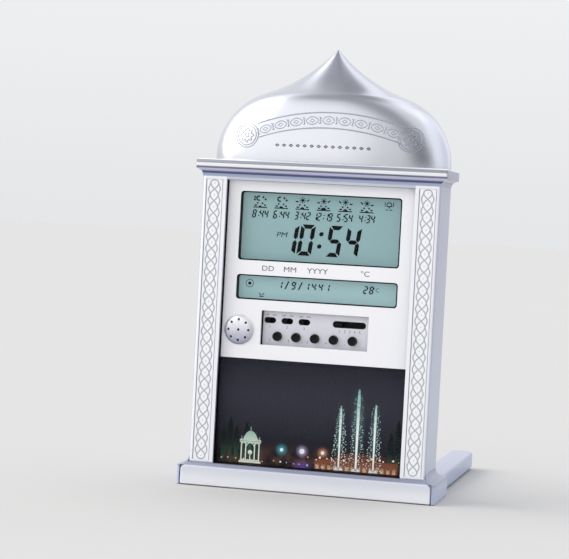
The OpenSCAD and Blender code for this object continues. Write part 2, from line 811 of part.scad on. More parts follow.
module speaker_grille() color("silver") difference() {
    r = grille_d / 2;
    skirt_r = r - grille_lap - fit;
    inner_r = skirt_r - grille_skirt;
    translate([speaker_x, panel_y, sound_z]) rotate([90, 0, 0]) rotate_extrude() polygon([
        [0, grille_out], [r - 3, grille_out], [r - 1.4, grille_out * 0.82], [r - 0.45, grille_out * 0.45],
        [r, grille_out * 0.18], [r, fit / 2], [skirt_r, fit / 2], [skirt_r, -panel_t], [inner_r, -panel_t],
        [inner_r, fit], [inner_r - 1, grille_out - grille_shell], [0, grille_out - grille_shell]]);
    rod(speaker_x, sound_z, sound_hole_d, panel_y - grille_out - over, panel_y1);
    for (a = [0:45:315]) rod(speaker_x + sound_ring_r * sin(a), sound_z + sound_ring_r * cos(a),
        sound_hole_d, panel_y - grille_out - over, panel_y1);
}

module speaker_basket() color("gray") translate([speaker_x, speaker_y, sound_z]) rotate([-90, 0, 0])
    rotate_extrude() polygon([
        [speaker_d / 2 - 1.4, 0], [speaker_d / 2, 0], [speaker_d / 2, 1], [speaker_d / 2 - 1.4, 1.2],
        [speaker_d / 2 - 3.2, basket_d], [2.9, basket_d], [2.9, basket_d - 0.8],
        [speaker_d / 2 - 3.8, basket_d - 0.8], [speaker_d / 2 - 2.2, 1]]);

module speaker_cone() color("dimgray") translate([speaker_x, speaker_y, sound_z]) rotate([-90, 0, 0])
    rotate_extrude() polygon([
        [0, 0.5], [2.4, 0.9], [2.7, 1.7], [speaker_d / 2 - 2.8, 0.5], [speaker_d / 2 - 2.4, 0.5],
        [speaker_d / 2 - 2.3, 0.9], [2.7, 2.1], [2.6, basket_d - 0.3], [2.3, basket_d - 0.3],
        [2.2, 1.3], [0, 0.9]]);

module speaker_magnet() color("darkslategray") translate([speaker_x, speaker_y, sound_z])
    rotate([-90, 0, 0]) translate([0, 0, basket_d + fit]) cylinder(d = magnet_d, h = magnet_t);

// ------------------------------------------------------------- controls

// Black tray behind the panel that holds the control plate and the key board
module control_tray() color("black") {
    slab(panel_y1 + fit, key_board_y - fit) translate([recess_x, recess_c]) difference() {
        square([recess_w + 2 * tray_wall, tray_h + 2 * tray_wall], center = true);
        square([recess_w, tray_h], center = true);
    }
}

module control_plate() color("lightgray") difference() {
    slab(plate_y, plate_y1) translate([recess_x, recess_c])
        square([recess_w - 2 * side_gap, tray_h - fit], center = true);
    slab(plate_y - over, plate_y1 + over) {
        for (x = slot_xs) translate([x, slot_z]) stadium(slot_l, slot_h);
        translate([long_x, slot_z]) stadium(long_l, slot_h + 0.4);
    }
    for (x = key_xs) rod(x, key_z, key_d + 2 * run, plate_y - over, plate_y1 + over);
}

module key(i) {
    x = key_xs[i - 1];
    difference() {
        union() {
            rod(x, key_z, key_d, plate_y - key_out, plate_y1 + run);
            rod(x, key_z, key_d + 2 * key_flange_w, plate_y1 + run, plate_y1 + run + key_flange_t);
            rod(x, key_z, key_stem_d, plate_y1 + run, tact_y + key_stem_in);
        }
        // shallow dish in the key's face
        translate([x, plate_y - key_out - key_d * 1.35, key_z]) sphere(r = key_d * 1.4, $fn = 64);
    }
}

module key_board() color("darkgreen")
    slab(key_board_y, key_board_y1) translate([recess_x, recess_c])
        square([recess_w + 2 * tray_wall, tray_h + 2 * tray_wall], center = true);

module key_switches() color("black") difference() {
    for (x = key_xs) slab(tact_y, key_board_y - fit / 2)
        translate([x, key_z]) square([tact_size, tact_size], center = true);
    for (x = key_xs) rod(x, key_z, key_stem_d + 2 * run, tact_y - over,
        tact_y + key_stem_in + key_travel + run);
}

// A black switch body with the slot that its knob runs in
module switch_body(x, travel, width) {
    body_l = travel + width + 2 * switch_wall;
    slab(switch_y, switch_y1) translate([x, slot_z]) difference() {
        square([body_l, knob_h + 2 * switch_side], center = true);
        square([travel + width + 2 * run, knob_h + 2 * run], center = true);
    }
    slab(switch_y + knob_root + run, switch_y1) translate([x, slot_z]) square([body_l - switch_wall, knob_h + switch_side], center = true);
}

// A knob at the left end of its travel, ribbed across its face
module knob(x, travel, width) {
    translate([x - travel / 2, 0, slot_z]) {
        slab(plate_y - knob_out, switch_y + knob_root) square([width, knob_h], center = true);
        for (i = [-1:1]) translate([i * width / 3.5, 0, 0])
            slab(plate_y - knob_out - knob_rib, plate_y - knob_out / 2) square([knob_rib, knob_h], center = true);
    }
}

module ribbon_cable() color("white") {
    z0 = recess_c + tray_h / 2 - 4;
    z1 = holder_z0 + 3;
    y = max(board_y1, key_board_y1) + 1.6;
    slab(key_board_y1 + fit / 2, y) translate([-6, z0 - 1.5]) square([12, 3]);
    slab(board_y1 + fit / 2, y) translate([-6, z1 - 1.5]) square([12, 3]);
    slab(y, y + 0.3) translate([-5, z0 - 1]) square([10, z1 - z0 + 2]);
}

// -------------------------------------------------------------- picture

module picture_sheet(y0, y1) {
    slab(y0, y1) translate([-picture_w / 2, picture_z0]) square([picture_w, picture_z1 - picture_z0]);
}

// Backing board inside the lip of the black frame
module picture_back() color("gray") {
    w = opening_w - 2 * (lip_w + fit);
    z0 = body_z0 + lip_w + 2 * fit;
    slab(panel_y1 + fit, liner_y1) translate([-w / 2, z0]) square([w, panel_z0 - run - z0]);
}

// ----------------------------------------------------------------- back

module back_cover() color("gainsboro") {
    cover_w = inner_w - 2 * run;
    cover_z0 = body_z0 + wall + run;
    cover_z1 = opening_z1 - run;
    difference() {
        union() {
            slab(cover_y0, back_y) translate([-cover_w / 2, cover_z0]) square([cover_w, cover_z1 - cover_z0]);
            // battery tub
            slab(bay_y0 - bay_wall, bay_y1) translate([0, bay_c])
                square([bay_w + 2 * bay_wall, bay_h + 2 * bay_wall], center = true);
        }
        slab(bay_y0, back_y + over) translate([0, bay_c]) square([bay_w, bay_h], center = true);
        // rebate for the door, with the two hinge bores
        slab(bay_y1, back_y + over) translate([0, bay_c])
            square([door_w + 2 * run, door_h + 2 * run], center = true);
        translate([-door_w / 2 - hinge_pin_l - run, hinge_y, hinge_z]) rotate([0, 90, 0])
            cylinder(d = door_t + 2 * hinge_fit, h = door_w + 2 * (hinge_pin_l + run));
        // finger notch over the door
        translate([0, back_y + 3, bay_c + door_h / 2]) sphere(r = 5.5, $fn = 48);
        for (x = [-1, 1], z = post_zs) {
            rod(x * post_x, z, screw_d + 2 * run, cover_y0 - over, back_y + over);
            rod(x * post_x, z, screw_head_d + 2 * run, back_y - screw_head_t, back_y + over);
        }
    }
    // ribs between the batteries
    if (cells > 1) for (i = [1:cells - 1])
        translate([-bay_w / 4, bay_y0 - fit, bay_z0 + i * cell_pitch - 0.25]) cube([bay_w / 2, 2.4, 0.5]);
}

module battery_door() color("gainsboro") {
    difference() {
        union() {
            slab(door_y0, door_y1)
                translate([-door_w / 2, hinge_z]) square([door_w, door_h - door_t / 2]);
            translate([-door_w / 2 - hinge_pin_l, hinge_y, hinge_z]) rotate([0, 90, 0])
                cylinder(d = door_t, h = door_w + 2 * hinge_pin_l);
        }
        for (i = [0:3])
            translate([-grip_w / 2, door_y1 - 0.4, door_z0 + door_h - 6 - i * 2]) cube([grip_w, over, 0.8]);
    }
}

module batteries() color("seagreen")
    for (i = [0:cells - 1]) {
        way = i % 2 == 0 ? 1 : -1;
        translate([-way * cell_l / 2, bay_mid, bay_z0 + (i + 0.5) * cell_pitch])
            rotate([0, way * 90, 0]) {
                cylinder(d = cell_d, h = cell_l);
                cylinder(d = nub_d, h = cell_l + nub_l);
            }
    }

module battery_contacts() color("silver")
    for (i = [0:cells - 1], x = [-1, 1]) {
        way = i % 2 == 0 ? 1 : -1;
        nub = x == way;
        depth = contact_room - (nub ? nub_l : 0) - run;
        translate([x * bay_w / 2, bay_mid, bay_z0 + (i + 0.5) * cell_pitch]) {
            translate([x > 0 ? -contact_t - fit : fit, -contact_w / 2, -contact_w / 2])
                cube([contact_t, contact_w, contact_w]);
            // leaf that presses on the cell
            translate([x > 0 ? -depth : contact_t, -leaf_w / 2, -leaf_w / 2])
                cube([depth - contact_t, leaf_w, leaf_w]);
        }
    }

module case_screws() color("silver")
    for (x = [-1, 1], z = post_zs)
        translate([x * post_x, back_y - screw_head_t, z]) rotate([90, 0, 0])
            screw(9, shank_d, screw_head_d, screw_head_t - screw_sink);

// -------------------------------------------------------------- cornice

// Profile along the front and the back, with the round bead
module cornice_side_view() {
    lower_out = 0.8;
    lower_h = 1.9;
    groove = 1.3;
    groove_in = 0.4;
    fascia_out = 1.5;
    bead_in = 0.2;
    back_r = 2;
    translate([face_y, body_z1]) {
        polygon(concat(
            [for (t = [0:15:90]) [-lower_out * (1 - cos(t)), lower_h * sin(t)]],
            [[groove_in, lower_h], [groove_in, lower_h + groove], [-fascia_out, lower_h + groove],
             [-fascia_out, cornice_h - 2 * bead_r + 0.2], [-bead_in, cornice_h - bead_r],
             [-bead_in, cornice_h]],
            [for (t = [90:-15:0]) [body_d + cornice_back - back_r * (1 - cos(t)), cornice_h - back_r * (1 - sin(t))]],
            [for (t = [90:-15:0]) [body_d + cornice_back * (1 - cos(t)), cove_drop * sin(t)]]));
        translate([-bead_in, cornice_h - bead_r]) circle(bead_r);
    }
}

// Half width of the cornice going up
module cornice_front_view() {
    r = cornice_edge_r;
    half = concat(
        [for (t = [0:15:90]) [body_w / 2 + cornice_side * (1 - cos(t)), body_z1 + cove_drop * sin(t)]],
        [for (t = [0:15:90]) [cornice_w / 2 - r + r * cos(t), cornice_z1 - r + r * sin(t)]]);
    polygon(concat(half, [for (i = [len(half) - 1:-1:0]) [-half[i][0], half[i][1]]]));
}

module cornice() color("silver") difference() {
    front_out = bead_r + 0.6;
    pocket_y = face_y + wall + 1;
    pocket_d = body_d - 2 * (wall + 1);
    middle_w = 2 * (body_screw_x - post_d);
    side_w = inner_w / 2 - body_screw_x - post_d;
    union() {
        intersection() {
            rotate([90, 0, 90]) translate([0, 0, -cornice_w / 2])
                linear_extrude(height = cornice_w) cornice_side_view();
            slab(face_y - 2 * front_out, back_y + cornice_back + over) cornice_front_view();
            translate([0, (face_y - front_out + back_y + cornice_back) / 2, body_z1 - over])
                linear_extrude(height = cornice_h + 2 * over)
                    round_rect(cornice_w, body_d + cornice_back + front_out, cornice_end_r);
        }
        // spigot that locates the dome
        translate([-spigot_w / 2, dome_y - spigot_front, cornice_z1 - over])
            cube([spigot_w, spigot_front + spigot_back, spigot_h + over]);
    }
    // hollow underside on both sides of the screw bosses
    translate([-middle_w / 2, pocket_y, body_z1 - over])
        cube([middle_w, pocket_d, cornice_h - wall + over]);
    for (x = [-1, 1]) {
        translate([x * (inner_w - side_w) / 2 - side_w / 2, pocket_y, body_z1 - over])
            cube([side_w, pocket_d, cornice_h - 2 * wall + over]);
        translate([x * body_screw_x, body_screw_y, body_z1 - over])
            cylinder(d = pilot_d, h = screw_bite + 1 + over);
    }
}

module cornice_screws() color("silver")
    for (x = [-1, 1]) translate([x * body_screw_x, body_screw_y, opening_z1])
        screw(roof_t + screw_bite, shank_d, screw_head_d, screw_head_t);

// ----------------------------------------------------------------- dome

// Point of the outline at share u of its height: half width and height.
// The first half of u runs round the shoulder, the rest up the flank.
function outline(u, inset) = u < 0.5
    ? let (a = -asin(shoulder_z / shoulder_r) + u * 2 * (90 - join_angle + asin(shoulder_z / shoulder_r)))
        [shoulder_x + (shoulder_r - inset) * cos(a), shoulder_z + (shoulder_r - inset) * sin(a)]
    : let (a = join_angle + (u - 0.5) * 4 * flank_turn)
        [max(join_x - flank_r * (sin(a) - sin(join_angle)) - inset * sin(a), 0),
         join_z + flank_r * (cos(join_angle) - cos(a)) - inset * cos(a)];

// Depth of the shell at half width w, kept fuller than the outline near the tip
function bulge(w, deep) = deep * pow(w / (dome_w / 2), tip_power);

function shell_row(u, deep, way, inset) =
    let (o = outline(u, inset), w = o[0], d = max(bulge(w + inset, deep) - inset, 0))
    [for (j = [0:dome_cols]) let (s = -cos(180 * j / dome_cols))
        [w * s, dome_y + way * (fit / 2 + d * pow(max(1 - pow(abs(s), front_power), 0), 1 / skin_power)),
         cornice_z1 + fit / 2 + max(o[1], 0)]];

// A hollow shell between an outer and an inner skin, closed along its edge
module dome_shell(deep, way) {
    m = dome_cols + 1;
    outer = [for (i = [0:dome_rows]) each shell_row(i / dome_rows * tip_cut, deep, way, 0)];
    inner = [for (i = [0:dome_rows]) each shell_row(i / dome_rows * 0.94, deep, way, dome_t)];
    n = len(outer);
    skins = [for (i = [0:dome_rows - 1], j = [0:dome_cols - 1]) let (a = i * m + j, b = a + m)
        each [[a, a + 1, b + 1], [a, b + 1, b], [n + a, n + b + 1, n + a + 1], [n + a, n + b, n + b + 1]]];
    foot_edge = [for (j = [0:dome_cols - 1]) each [[j, n + j, n + j + 1], [j, n + j + 1, j + 1]]];
    top = dome_rows * m;
    top_edge = [for (j = [0:dome_cols - 1])
        each [[top + j, top + j + 1, n + top + j + 1], [top + j, n + top + j + 1, n + top + j]]];
    sides = [for (i = [0:dome_rows - 1]) let (a = i * m, b = a + dome_cols)
        each [[a, a + m, n + a + m], [a, n + a + m, n + a], [b, n + b, n + b + m], [b, n + b + m, b + m]]];
    faces = concat(skins, foot_edge, top_edge, sides);
    polyhedron(points = concat(outer, inner),
        faces = way < 0 ? faces : [for (f = faces) [f[2], f[1], f[0]]]);
}

module dome_front() color("silver") dome_shell(dome_front_d, -1);
module dome_back() color("silver") dome_shell(dome_back_d, 1);

base_shell();
base_front();
base_cover();
base_pads();
base_screws();
color("gainsboro") foot(-1);  // foot_left
color("gainsboro") foot(1);  // foot_right
color("dimgray") foot_pad(-1);  // foot_pad_left
color("dimgray") foot_pad(1);  // foot_pad_right
front_housing();
color("white") pilaster(-1);  // pilaster_left
color("white") pilaster(1);  // pilaster_right
panel_liner();
front_panel();
color("black") rim(upper_c, upper_h);  // upper_rim
color("black") rim(lower_c, lower_h);  // lower_rim
color("lightcyan", 0.4) window_pane(upper_c, upper_h, rim_y1 + fit, lens_y1);  // upper_lens
color("lightcyan", 0.4) window_pane(lower_c, lower_h, rim_y1 + fit, lens_y1);  // lower_lens
color("cadetblue") window_pane(upper_c, upper_h, lens_y1 + fit, glass_y1);  // upper_display
color("cadetblue") window_pane(lower_c, lower_h, lens_y1 + fit, glass_y1);  // lower_display
color("lightyellow") light_panel(upper_c, upper_h, true);  // upper_light
color("lightyellow") light_panel(lower_c, lower_h, false);  // lower_light
display_holder();
contact_strips();
main_board();
board_chips();
board_screws();
speaker_grille();
speaker_basket();
speaker_cone();
speaker_magnet();
control_tray();
control_plate();
color("black") key(1);  // key_1
color("black") key(2);  // key_2
color("black") key(3);  // key_3
color("black") key(4);  // key_4
color("black") key(5);  // key_5
key_board();
key_switches();
color("black")  // slide_switches
    for (x = slot_xs) switch_body(x, switch_travel, knob_w);
color("black") switch_body(long_x, slider_travel, slider_w);  // slider_body
color("black") knob(slot_xs[0], switch_travel, knob_w);  // switch_knob_1
color("black") knob(slot_xs[1], switch_travel, knob_w);  // switch_knob_2
color("black") knob(slot_xs[2], switch_travel, knob_w);  // switch_knob_3
color("black") knob(long_x, slider_travel, slider_w);  // slider_knob
ribbon_cable();
color("lightcyan", 0.3) picture_sheet(panel_y, panel_y1 - print_t - fit);  // picture_cover
color("midnightblue") picture_sheet(panel_y1 - print_t, panel_y1);  // picture_print
picture_back();
back_cover();
battery_door();
batteries();
battery_contacts();
case_screws();
cornice();
cornice_screws();
dome_front();
dome_back();
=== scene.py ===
import math

import bmesh
import bpy
from mathutils import Matrix, Vector


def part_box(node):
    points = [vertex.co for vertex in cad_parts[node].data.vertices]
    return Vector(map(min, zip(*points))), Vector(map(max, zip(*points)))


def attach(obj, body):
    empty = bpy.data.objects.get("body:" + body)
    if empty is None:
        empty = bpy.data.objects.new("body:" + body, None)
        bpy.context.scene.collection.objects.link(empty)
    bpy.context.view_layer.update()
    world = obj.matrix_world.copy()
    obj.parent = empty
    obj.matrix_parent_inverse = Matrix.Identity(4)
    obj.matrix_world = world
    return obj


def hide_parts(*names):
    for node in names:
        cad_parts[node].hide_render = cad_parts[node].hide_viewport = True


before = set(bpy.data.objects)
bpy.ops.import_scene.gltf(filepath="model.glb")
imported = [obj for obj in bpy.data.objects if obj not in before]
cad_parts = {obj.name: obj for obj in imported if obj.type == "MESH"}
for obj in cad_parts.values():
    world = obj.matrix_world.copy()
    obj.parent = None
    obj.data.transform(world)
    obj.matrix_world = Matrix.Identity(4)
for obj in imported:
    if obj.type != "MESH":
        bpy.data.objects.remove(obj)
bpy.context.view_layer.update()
MM = 0.001

# ------------------------------------------------------------------ camera
# The clock is seen from a little to the right and just above its middle, with
# a long lens and a slight roll.
turn, rise, roll = (math.radians(a) for a in (13.430, 1.772, 3.027))
housing_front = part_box("front_housing")[0].y
aim = Vector((-17.717 * MM, housing_front, 120.834 * MM))
back = Vector((math.sin(turn) * math.cos(rise), -math.cos(turn) * math.cos(rise), math.sin(rise)))
level = Vector((math.cos(turn), math.sin(turn), 0))
upright = back.cross(level)
across = level * math.cos(roll) + upright * math.sin(roll)
upright = upright * math.cos(roll) - level * math.sin(roll)
camera_data = bpy.data.cameras.new("camera")
camera_data.lens = 120.38
camera_data.sensor_width = 36
camera_data.clip_start, camera_data.clip_end = 0.05, 20
camera = bpy.data.objects.new("camera", camera_data)
camera.matrix_world = Matrix.Translation(aim + back * 1.0786) @ Matrix(
    (across, upright, back)).transposed().to_4x4()
bpy.context.collection.objects.link(camera)
bpy.context.scene.camera = camera


# ------------------------------------------------------------------ studio
# Plain soft light: a pale surround with a few brighter and darker patches for
# the silver dome to mirror, a wide warm lamp at the left, a cool one at the right.
class Reading:
    """A number, colour or direction that one node hands to the next."""

    def __init__(self, tree, socket):
        self.tree, self.socket = tree, socket

    def also(self, out):
        """Another output of the same node."""
        return Reading(self.tree, self.socket.node.outputs[out])

    def math(self, operation, *others):
        return self.tree.add("ShaderNodeMath", {"operation": operation}, dict(enumerate((self, *others))))

    def __add__(self, other):
        return self.math("ADD", other)

    def __sub__(self, other):
        return self.math("SUBTRACT", other)

    def __mul__(self, other):
        return self.math("MULTIPLY", other)

    def __truediv__(self, other):
        return self.math("DIVIDE", other)

    def __pow__(self, other):
        return self.math("POWER", other)

    def __rsub__(self, other):
        return self * -1 + other

    def __rtruediv__(self, other):
        return self ** -1 * other

    __radd__, __rmul__ = __add__, __mul__

    def above(self, edge, soft):
        """0 under edge, 1 over it, with a soft step between."""
        return self.tree.add("ShaderNodeMapRange", {"interpolation_type": "SMOOTHSTEP"},
                             {0: self, 1: edge - soft, 2: edge + soft})


class Tree:
    """A tree of nodes in the making. Every node comes from add()."""

    def __init__(self, tree):
        self.tree = tree
        tree.nodes.clear()

    def add(self, kind, settings=None, inputs=None, out=0):
        """One node, its settings and what its inputs take. The setting "stops" fills a colour ramp."""
        node = self.tree.nodes.new(kind)
        for key, value in (settings or {}).items():
            if key == "stops":
                ramp = node.color_ramp.elements
                while len(ramp) < len(value):
                    ramp.new(0.5)
                for stop, (at, colour) in zip(ramp, value):
                    stop.position, stop.color = at, colour
            else:
                setattr(node, key, value)
        for key, value in (inputs or {}).items():
            if isinstance(value, Reading):
                self.tree.links.new(value.socket, node.inputs[key])
            else:
                node.inputs[key].default_value = value
        return Reading(self, node.outputs[out]) if node.outputs else node

    def blend(self, mask, first, second):
        return self.add("ShaderNodeMix", {"data_type": "RGBA"}, {0: mask, 6: first, 7: second}, out=2)


def heading(azimuth, height):
    """The direction at an azimuth from the front, to the right, and a height, in degrees."""
    a, h = math.radians(azimuth), math.radians(height)
    return Vector((math.sin(a) * math.cos(h), -math.cos(a) * math.cos(h), math.sin(h)))


surround = bpy.data.worlds.new("surround")
surround.use_nodes = True
sky = Tree(surround.node_tree)
way = sky.add("ShaderNodeTexCoord")
up = sky.add("ShaderNodeSeparateXYZ", {}, {0: way}, out=2)
light = sky.add("ShaderNodeValToRGB", {"stops": [
    (0.0, (0.79, 0.795, 0.805, 1)), (0.22, (0.93, 0.935, 0.95, 1)), (0.60, (1.0, 1.01, 1.03, 1)),
    (0.95, (0.97, 0.98, 1.0, 1)), (0.983, (0.34, 0.35, 0.38, 1))]}, {0: up})
for azimuth, height, size, soft, colour in (
        (-33, 17, 33, 0.12, (1.42, 1.42, 1.43, 1)), (-80, 56, 12, 0.05, (1.6, 1.6, 1.62, 1)),
        (104, 64, 14, 0.06, (1.65, 1.67, 1.72, 1)), (165, 62, 12, 0.05, (1.5, 1.52, 1.56, 1)),
        (118, 13, 15, 0.08, (0.58, 0.6, 0.66, 1)),
        (-38, 68, 9, 0.035, (0.24, 0.25, 0.28, 1)), (-8, 66, 10, 0.035, (0.28, 0.29, 0.32, 1)),
        (13, 54, 10, 0.035, (0.28, 0.29, 0.32, 1)), (28, 42, 10, 0.04, (0.22, 0.23, 0.26, 1)),
        (42, 24, 13, 0.05, (0.12, 0.13, 0.16, 1)), (48, 4, 15, 0.06, (0.08, 0.09, 0.12, 1))):
    middle = heading(azimuth, height)
    near = sky.add("ShaderNodeVectorMath", {"operation": "DOT_PRODUCT"}, {0: way, 1: middle}, out=1)
    light = sky.blend(near.above(math.cos(math.radians(size)), soft), light, colour)
sky.add("ShaderNodeOutputWorld", {}, {0: sky.add("ShaderNodeBackground", {}, {"Color": light})})
bpy.context.scene.world = surround
bpy.context.scene.view_settings.view_transform = "Standard"

for name, azimuth, height, spread, power, colour in (
        ("left_lamp", -80, 30, 54, 1.85, (1, 0.99, 0.97)),
        ("right_lamp", 114, 16, 84, 0.5, (0.72, 0.8, 1))):
    lamp = bpy.data.lights.new(name, "SUN")
    lamp.angle, lamp.energy, lamp.color = math.radians(spread), power, colour
    holder = bpy.data.objects.new(name, lamp)
    holder.matrix_world = heading(azimuth, height).to_track_quat("Z", "Y").to_matrix().to_4x4()
    bpy.context.collection.objects.link(holder)


# ------------------------------------------------------------------- floor
# A wide sheet of plain matt paper, as pale as the surround behind it.
class Finish(Tree):
    """A material in the making."""

    def __init__(self, name):
        self.material = bpy.data.materials.new(name)
        self.material.use_nodes = True
        super().__init__(self.material.node_tree)
        self.place = self.add("ShaderNodeTexCoord", out=3)
        self.x = self.add("ShaderNodeSeparateXYZ", {}, {0: self.place})
        self.y, self.z = self.x.also(1), self.x.also(2)

    def noise(self, scale, detail=2.0, stretch=(1, 1, 1)):
        spot = self.add("ShaderNodeMapping", {}, {"Vector": self.place, "Scale": stretch})
        return self.add("ShaderNodeTexNoise", {}, {"Vector": spot, "Scale": scale, "Detail": detail})

    def bump(self, height, strength, distance):
        return self.add("ShaderNodeBump", {}, {"Strength": strength, "Distance": distance, "Height": height})

    def surface(self, **sockets):
        """Ends the material in one physical surface and hands it over."""
        inputs = {key.replace("_", " "): value for key, value in sockets.items()}
        self.add("ShaderNodeOutputMaterial", {}, {0: self.add("ShaderNodeBsdfPrincipled", {}, inputs)})
        return self.material


def ink(red, green, blue):
    """A colour as it looks, from 0 to 255, in the renderer's linear scale."""
    shares = (c / 255 for c in (red, green, blue))
    return (*(((c + 0.055) / 1.055) ** 2.4 if c > 0.04 else c / 12.92 for c in shares), 1)


floor_mesh = bpy.data.meshes.new("floor")
floor_mesh.from_pydata([(-40, -40, 0), (40, -40, 0), (40, 40, 0), (-40, 40, 0)], [], [(0, 1, 2, 3)])
floor = bpy.data.objects.new("floor", floor_mesh)
bpy.context.collection.objects.link(floor)
paper = Finish("floor_paper")
floor_mesh.materials.append(paper.surface(
    Base_Color=paper.blend(paper.noise(2, 3), ink(205, 204, 202), ink(203, 202, 200)), Roughness=1.0,
    Specular_IOR_Level=0.0))


# -------------------------------------------------------------------- base
# A hollow moulding in pearly silver plastic with a cove up to the housing, and
# a smooth lighter slab clipped to its front. A screwed plate closes it below.
def moulded(node, edge, finish, body="clock", flat=30):
    """Stands for a CAD node: the same solid with its edges rounded as a mould leaves them."""
    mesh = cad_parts[node].data.copy()
    form = bmesh.new()
    form.from_mesh(mesh)
    bmesh.ops.remove_doubles(form, verts=form.verts, dist=2e-6)
    bmesh.ops.dissolve_limit(form, angle_limit=math.radians(0.4), verts=form.verts, edges=form.edges)
    form.to_mesh(mesh)
    form.free()
    mesh.shade_smooth()
    mesh.set_sharp_from_angle(angle=math.radians(flat))
    mesh.materials.clear()
    mesh.materials.append(finish)
    piece = bpy.data.objects.new(node + "_moulded", mesh)
    bpy.context.collection.objects.link(piece)
    bevel = piece.modifiers.new("edges", "BEVEL")
    bevel.width, bevel.segments = edge * MM, 3
    bevel.limit_method, bevel.angle_limit = "ANGLE", math.radians(flat)
    bevel.use_clamp_overlap, bevel.harden_normals = True, True
    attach(piece, body)
    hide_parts(node)
    return piece


def pearl(name, low, high, z_low, z_high, roughness=0.32, metal=0.1):
    """Moulded plastic with pearl flakes: its shade drifts from low to high, with a faint mottle, a fine
    flake grain and a light gloss."""
    f = Finish(name)
    mottle, flake = f.noise(30, 3), f.noise(2600, 1)
    drift = f.z.above((z_low + z_high) / 2 * MM, (z_high - z_low) / 2 * MM) + (mottle - 0.5) * 0.16
    return f.surface(
        Base_Color=f.blend(drift, low, high), Metallic=metal,
        Roughness=(mottle - 0.5) * 0.08 + (flake - 0.5) * 0.05 + roughness,
        Normal=f.bump(flake, 0.03, 0.0001), Coat_Weight=0.25, Coat_Roughness=0.14)


def dress(nodes, finish):
    """Gives carried-over CAD nodes their finish."""
    for node in nodes:
        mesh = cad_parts[node].data
        mesh.materials.clear()
        mesh.materials.append(finish)


# The base is painted darker grey towards its cove and ledge, as shade against the housing.
base_pearl = pearl("base_pearl", ink(182, 190, 214), ink(146, 150, 172), 9, 12.2, 0.34)
slab_white = pearl("slab_white", ink(233, 235, 240), ink(216, 218, 228), 3, 10.5, 0.34, 0.0)
moulded("base_shell", 0.5, base_pearl)
moulded("base_front", 0.7, slab_white)
moulded("base_cover", 0.2, base_pearl)

rubber = Finish("pad_rubber")
grain = rubber.noise(900, 3)
dress(["base_pads", "foot_pad_left", "foot_pad_right"], rubber.surface(
    Base_Color=rubber.blend(grain, ink(34, 34, 36), ink(48, 48, 50)), Roughness=grain * 0.15 + 0.7,
    Normal=rubber.bump(grain, 0.2, 0.0001)))

zinc = Finish("zinc_plate")
spangle, scratch = zinc.noise(500, 2), zinc.noise(1800, 2, (1, 8, 1))
zinc = zinc.surface(Base_Color=zinc.blend(spangle, ink(196, 198, 202), ink(166, 168, 174)), Metallic=1.0,
                    Roughness=scratch * 0.2 + 0.25, Normal=zinc.bump(scratch, 0.1, 0.00005))
dress(["base_screws", "case_screws", "cornice_screws", "board_screws"], zinc)

# -------------------------------------------------------------------- feet
# Two long flat feet of the same plastic plug into sockets in the base's rear
# and end in round tips on rubber pads.
foot_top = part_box("foot_left")[1].z / MM
# The feet are painted a little lighter on top than on their sides, as lit from above.
foot_pearl = pearl("foot_pearl", ink(160, 171, 199), ink(172, 177, 201), foot_top - 3, foot_top - 0.6, 0.34)
moulded("foot_left", 0.35, foot_pearl, "left_foot")
moulded("foot_right", 0.35, foot_pearl, "right_foot")

# ----------------------------------------------------------------- housing
# One deep moulding: pilaster fronts, side walls and roof in pearly silver. A
# screwed cover with a small door for the cells closes it behind.
def facing(f):
    """The way the surface faces, in the object's own directions; also(1) and also(2) give Y and Z."""
    normal = f.add("ShaderNodeNewGeometry", out=1)
    turned = f.add("ShaderNodeVectorTransform", {
        "vector_type": "NORMAL", "convert_from": "WORLD", "convert_to": "OBJECT"}, {0: normal})
    return f.add("ShaderNodeSeparateXYZ", {}, {0: turned})


side = Finish("housing_pearl")
outward = facing(side)
to_front = outward.also(1)
mottle, flake = side.noise(30, 3), side.noise(2600, 1)
# Faces that do not look to the front are painted a darker lavender grey as shade, darker towards the top; the
# front is white.
flank = side.blend(side.z.above(0.095, 0.085) + (mottle - 0.5) * 0.16, ink(180, 188, 207), ink(167, 171, 190))
# A strip of the front over the panel, under the cornice, is painted grey as the cornice's shadow.
opening_top, opening_side = 175.6 * MM, 54.6 * MM
shadow_over_panel = (side.z.above(opening_top, 0.3 * MM) * (side.x * -1).above(-opening_side, 0.2 * MM)
              * side.x.above(-opening_side, 0.2 * MM))
face = side.blend(shadow_over_panel, ink(242, 243, 248), ink(196, 198, 208))
housing_pearl = side.surface(
    Base_Color=side.blend((to_front * -1).above(0.75, 0.2), flank, face), Metallic=0.1,
    Roughness=(mottle - 0.5) * 0.08 + (flake - 0.5) * 0.05 + 0.34, Normal=side.bump(flake, 0.03, 0.0001),
    Coat_Weight=0.25, Coat_Roughness=0.14)
back_pearl = pearl("back_pearl", ink(196, 203, 226), ink(188, 193, 218), 20, 170, 0.36)
moulded("front_housing", 0.3, housing_pearl)
moulded("back_cover", 0.3, back_pearl)
moulded("battery_door", 0.25, back_pearl, "door")


# ---------------------------------------------------------- pilaster strips
# A thin white strip set in each pilaster, with a braid of interlaced lines
# sunk into it, painted grey as shade.
strip = Finish("strip_white")
strip_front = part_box("pilaster_left")[0].y
sunk = strip.y.above(strip_front + 0.2 * MM, 0.06 * MM)
grain = strip.noise(700, 3)
dress(["pilaster_left", "pilaster_right"], strip.surface(
    Base_Color=strip.blend(sunk, ink(247, 248, 251), ink(192, 194, 202)), Roughness=grain * 0.1 + 0.34,
    Normal=strip.bump(grain, 0.05, 0.0001)))


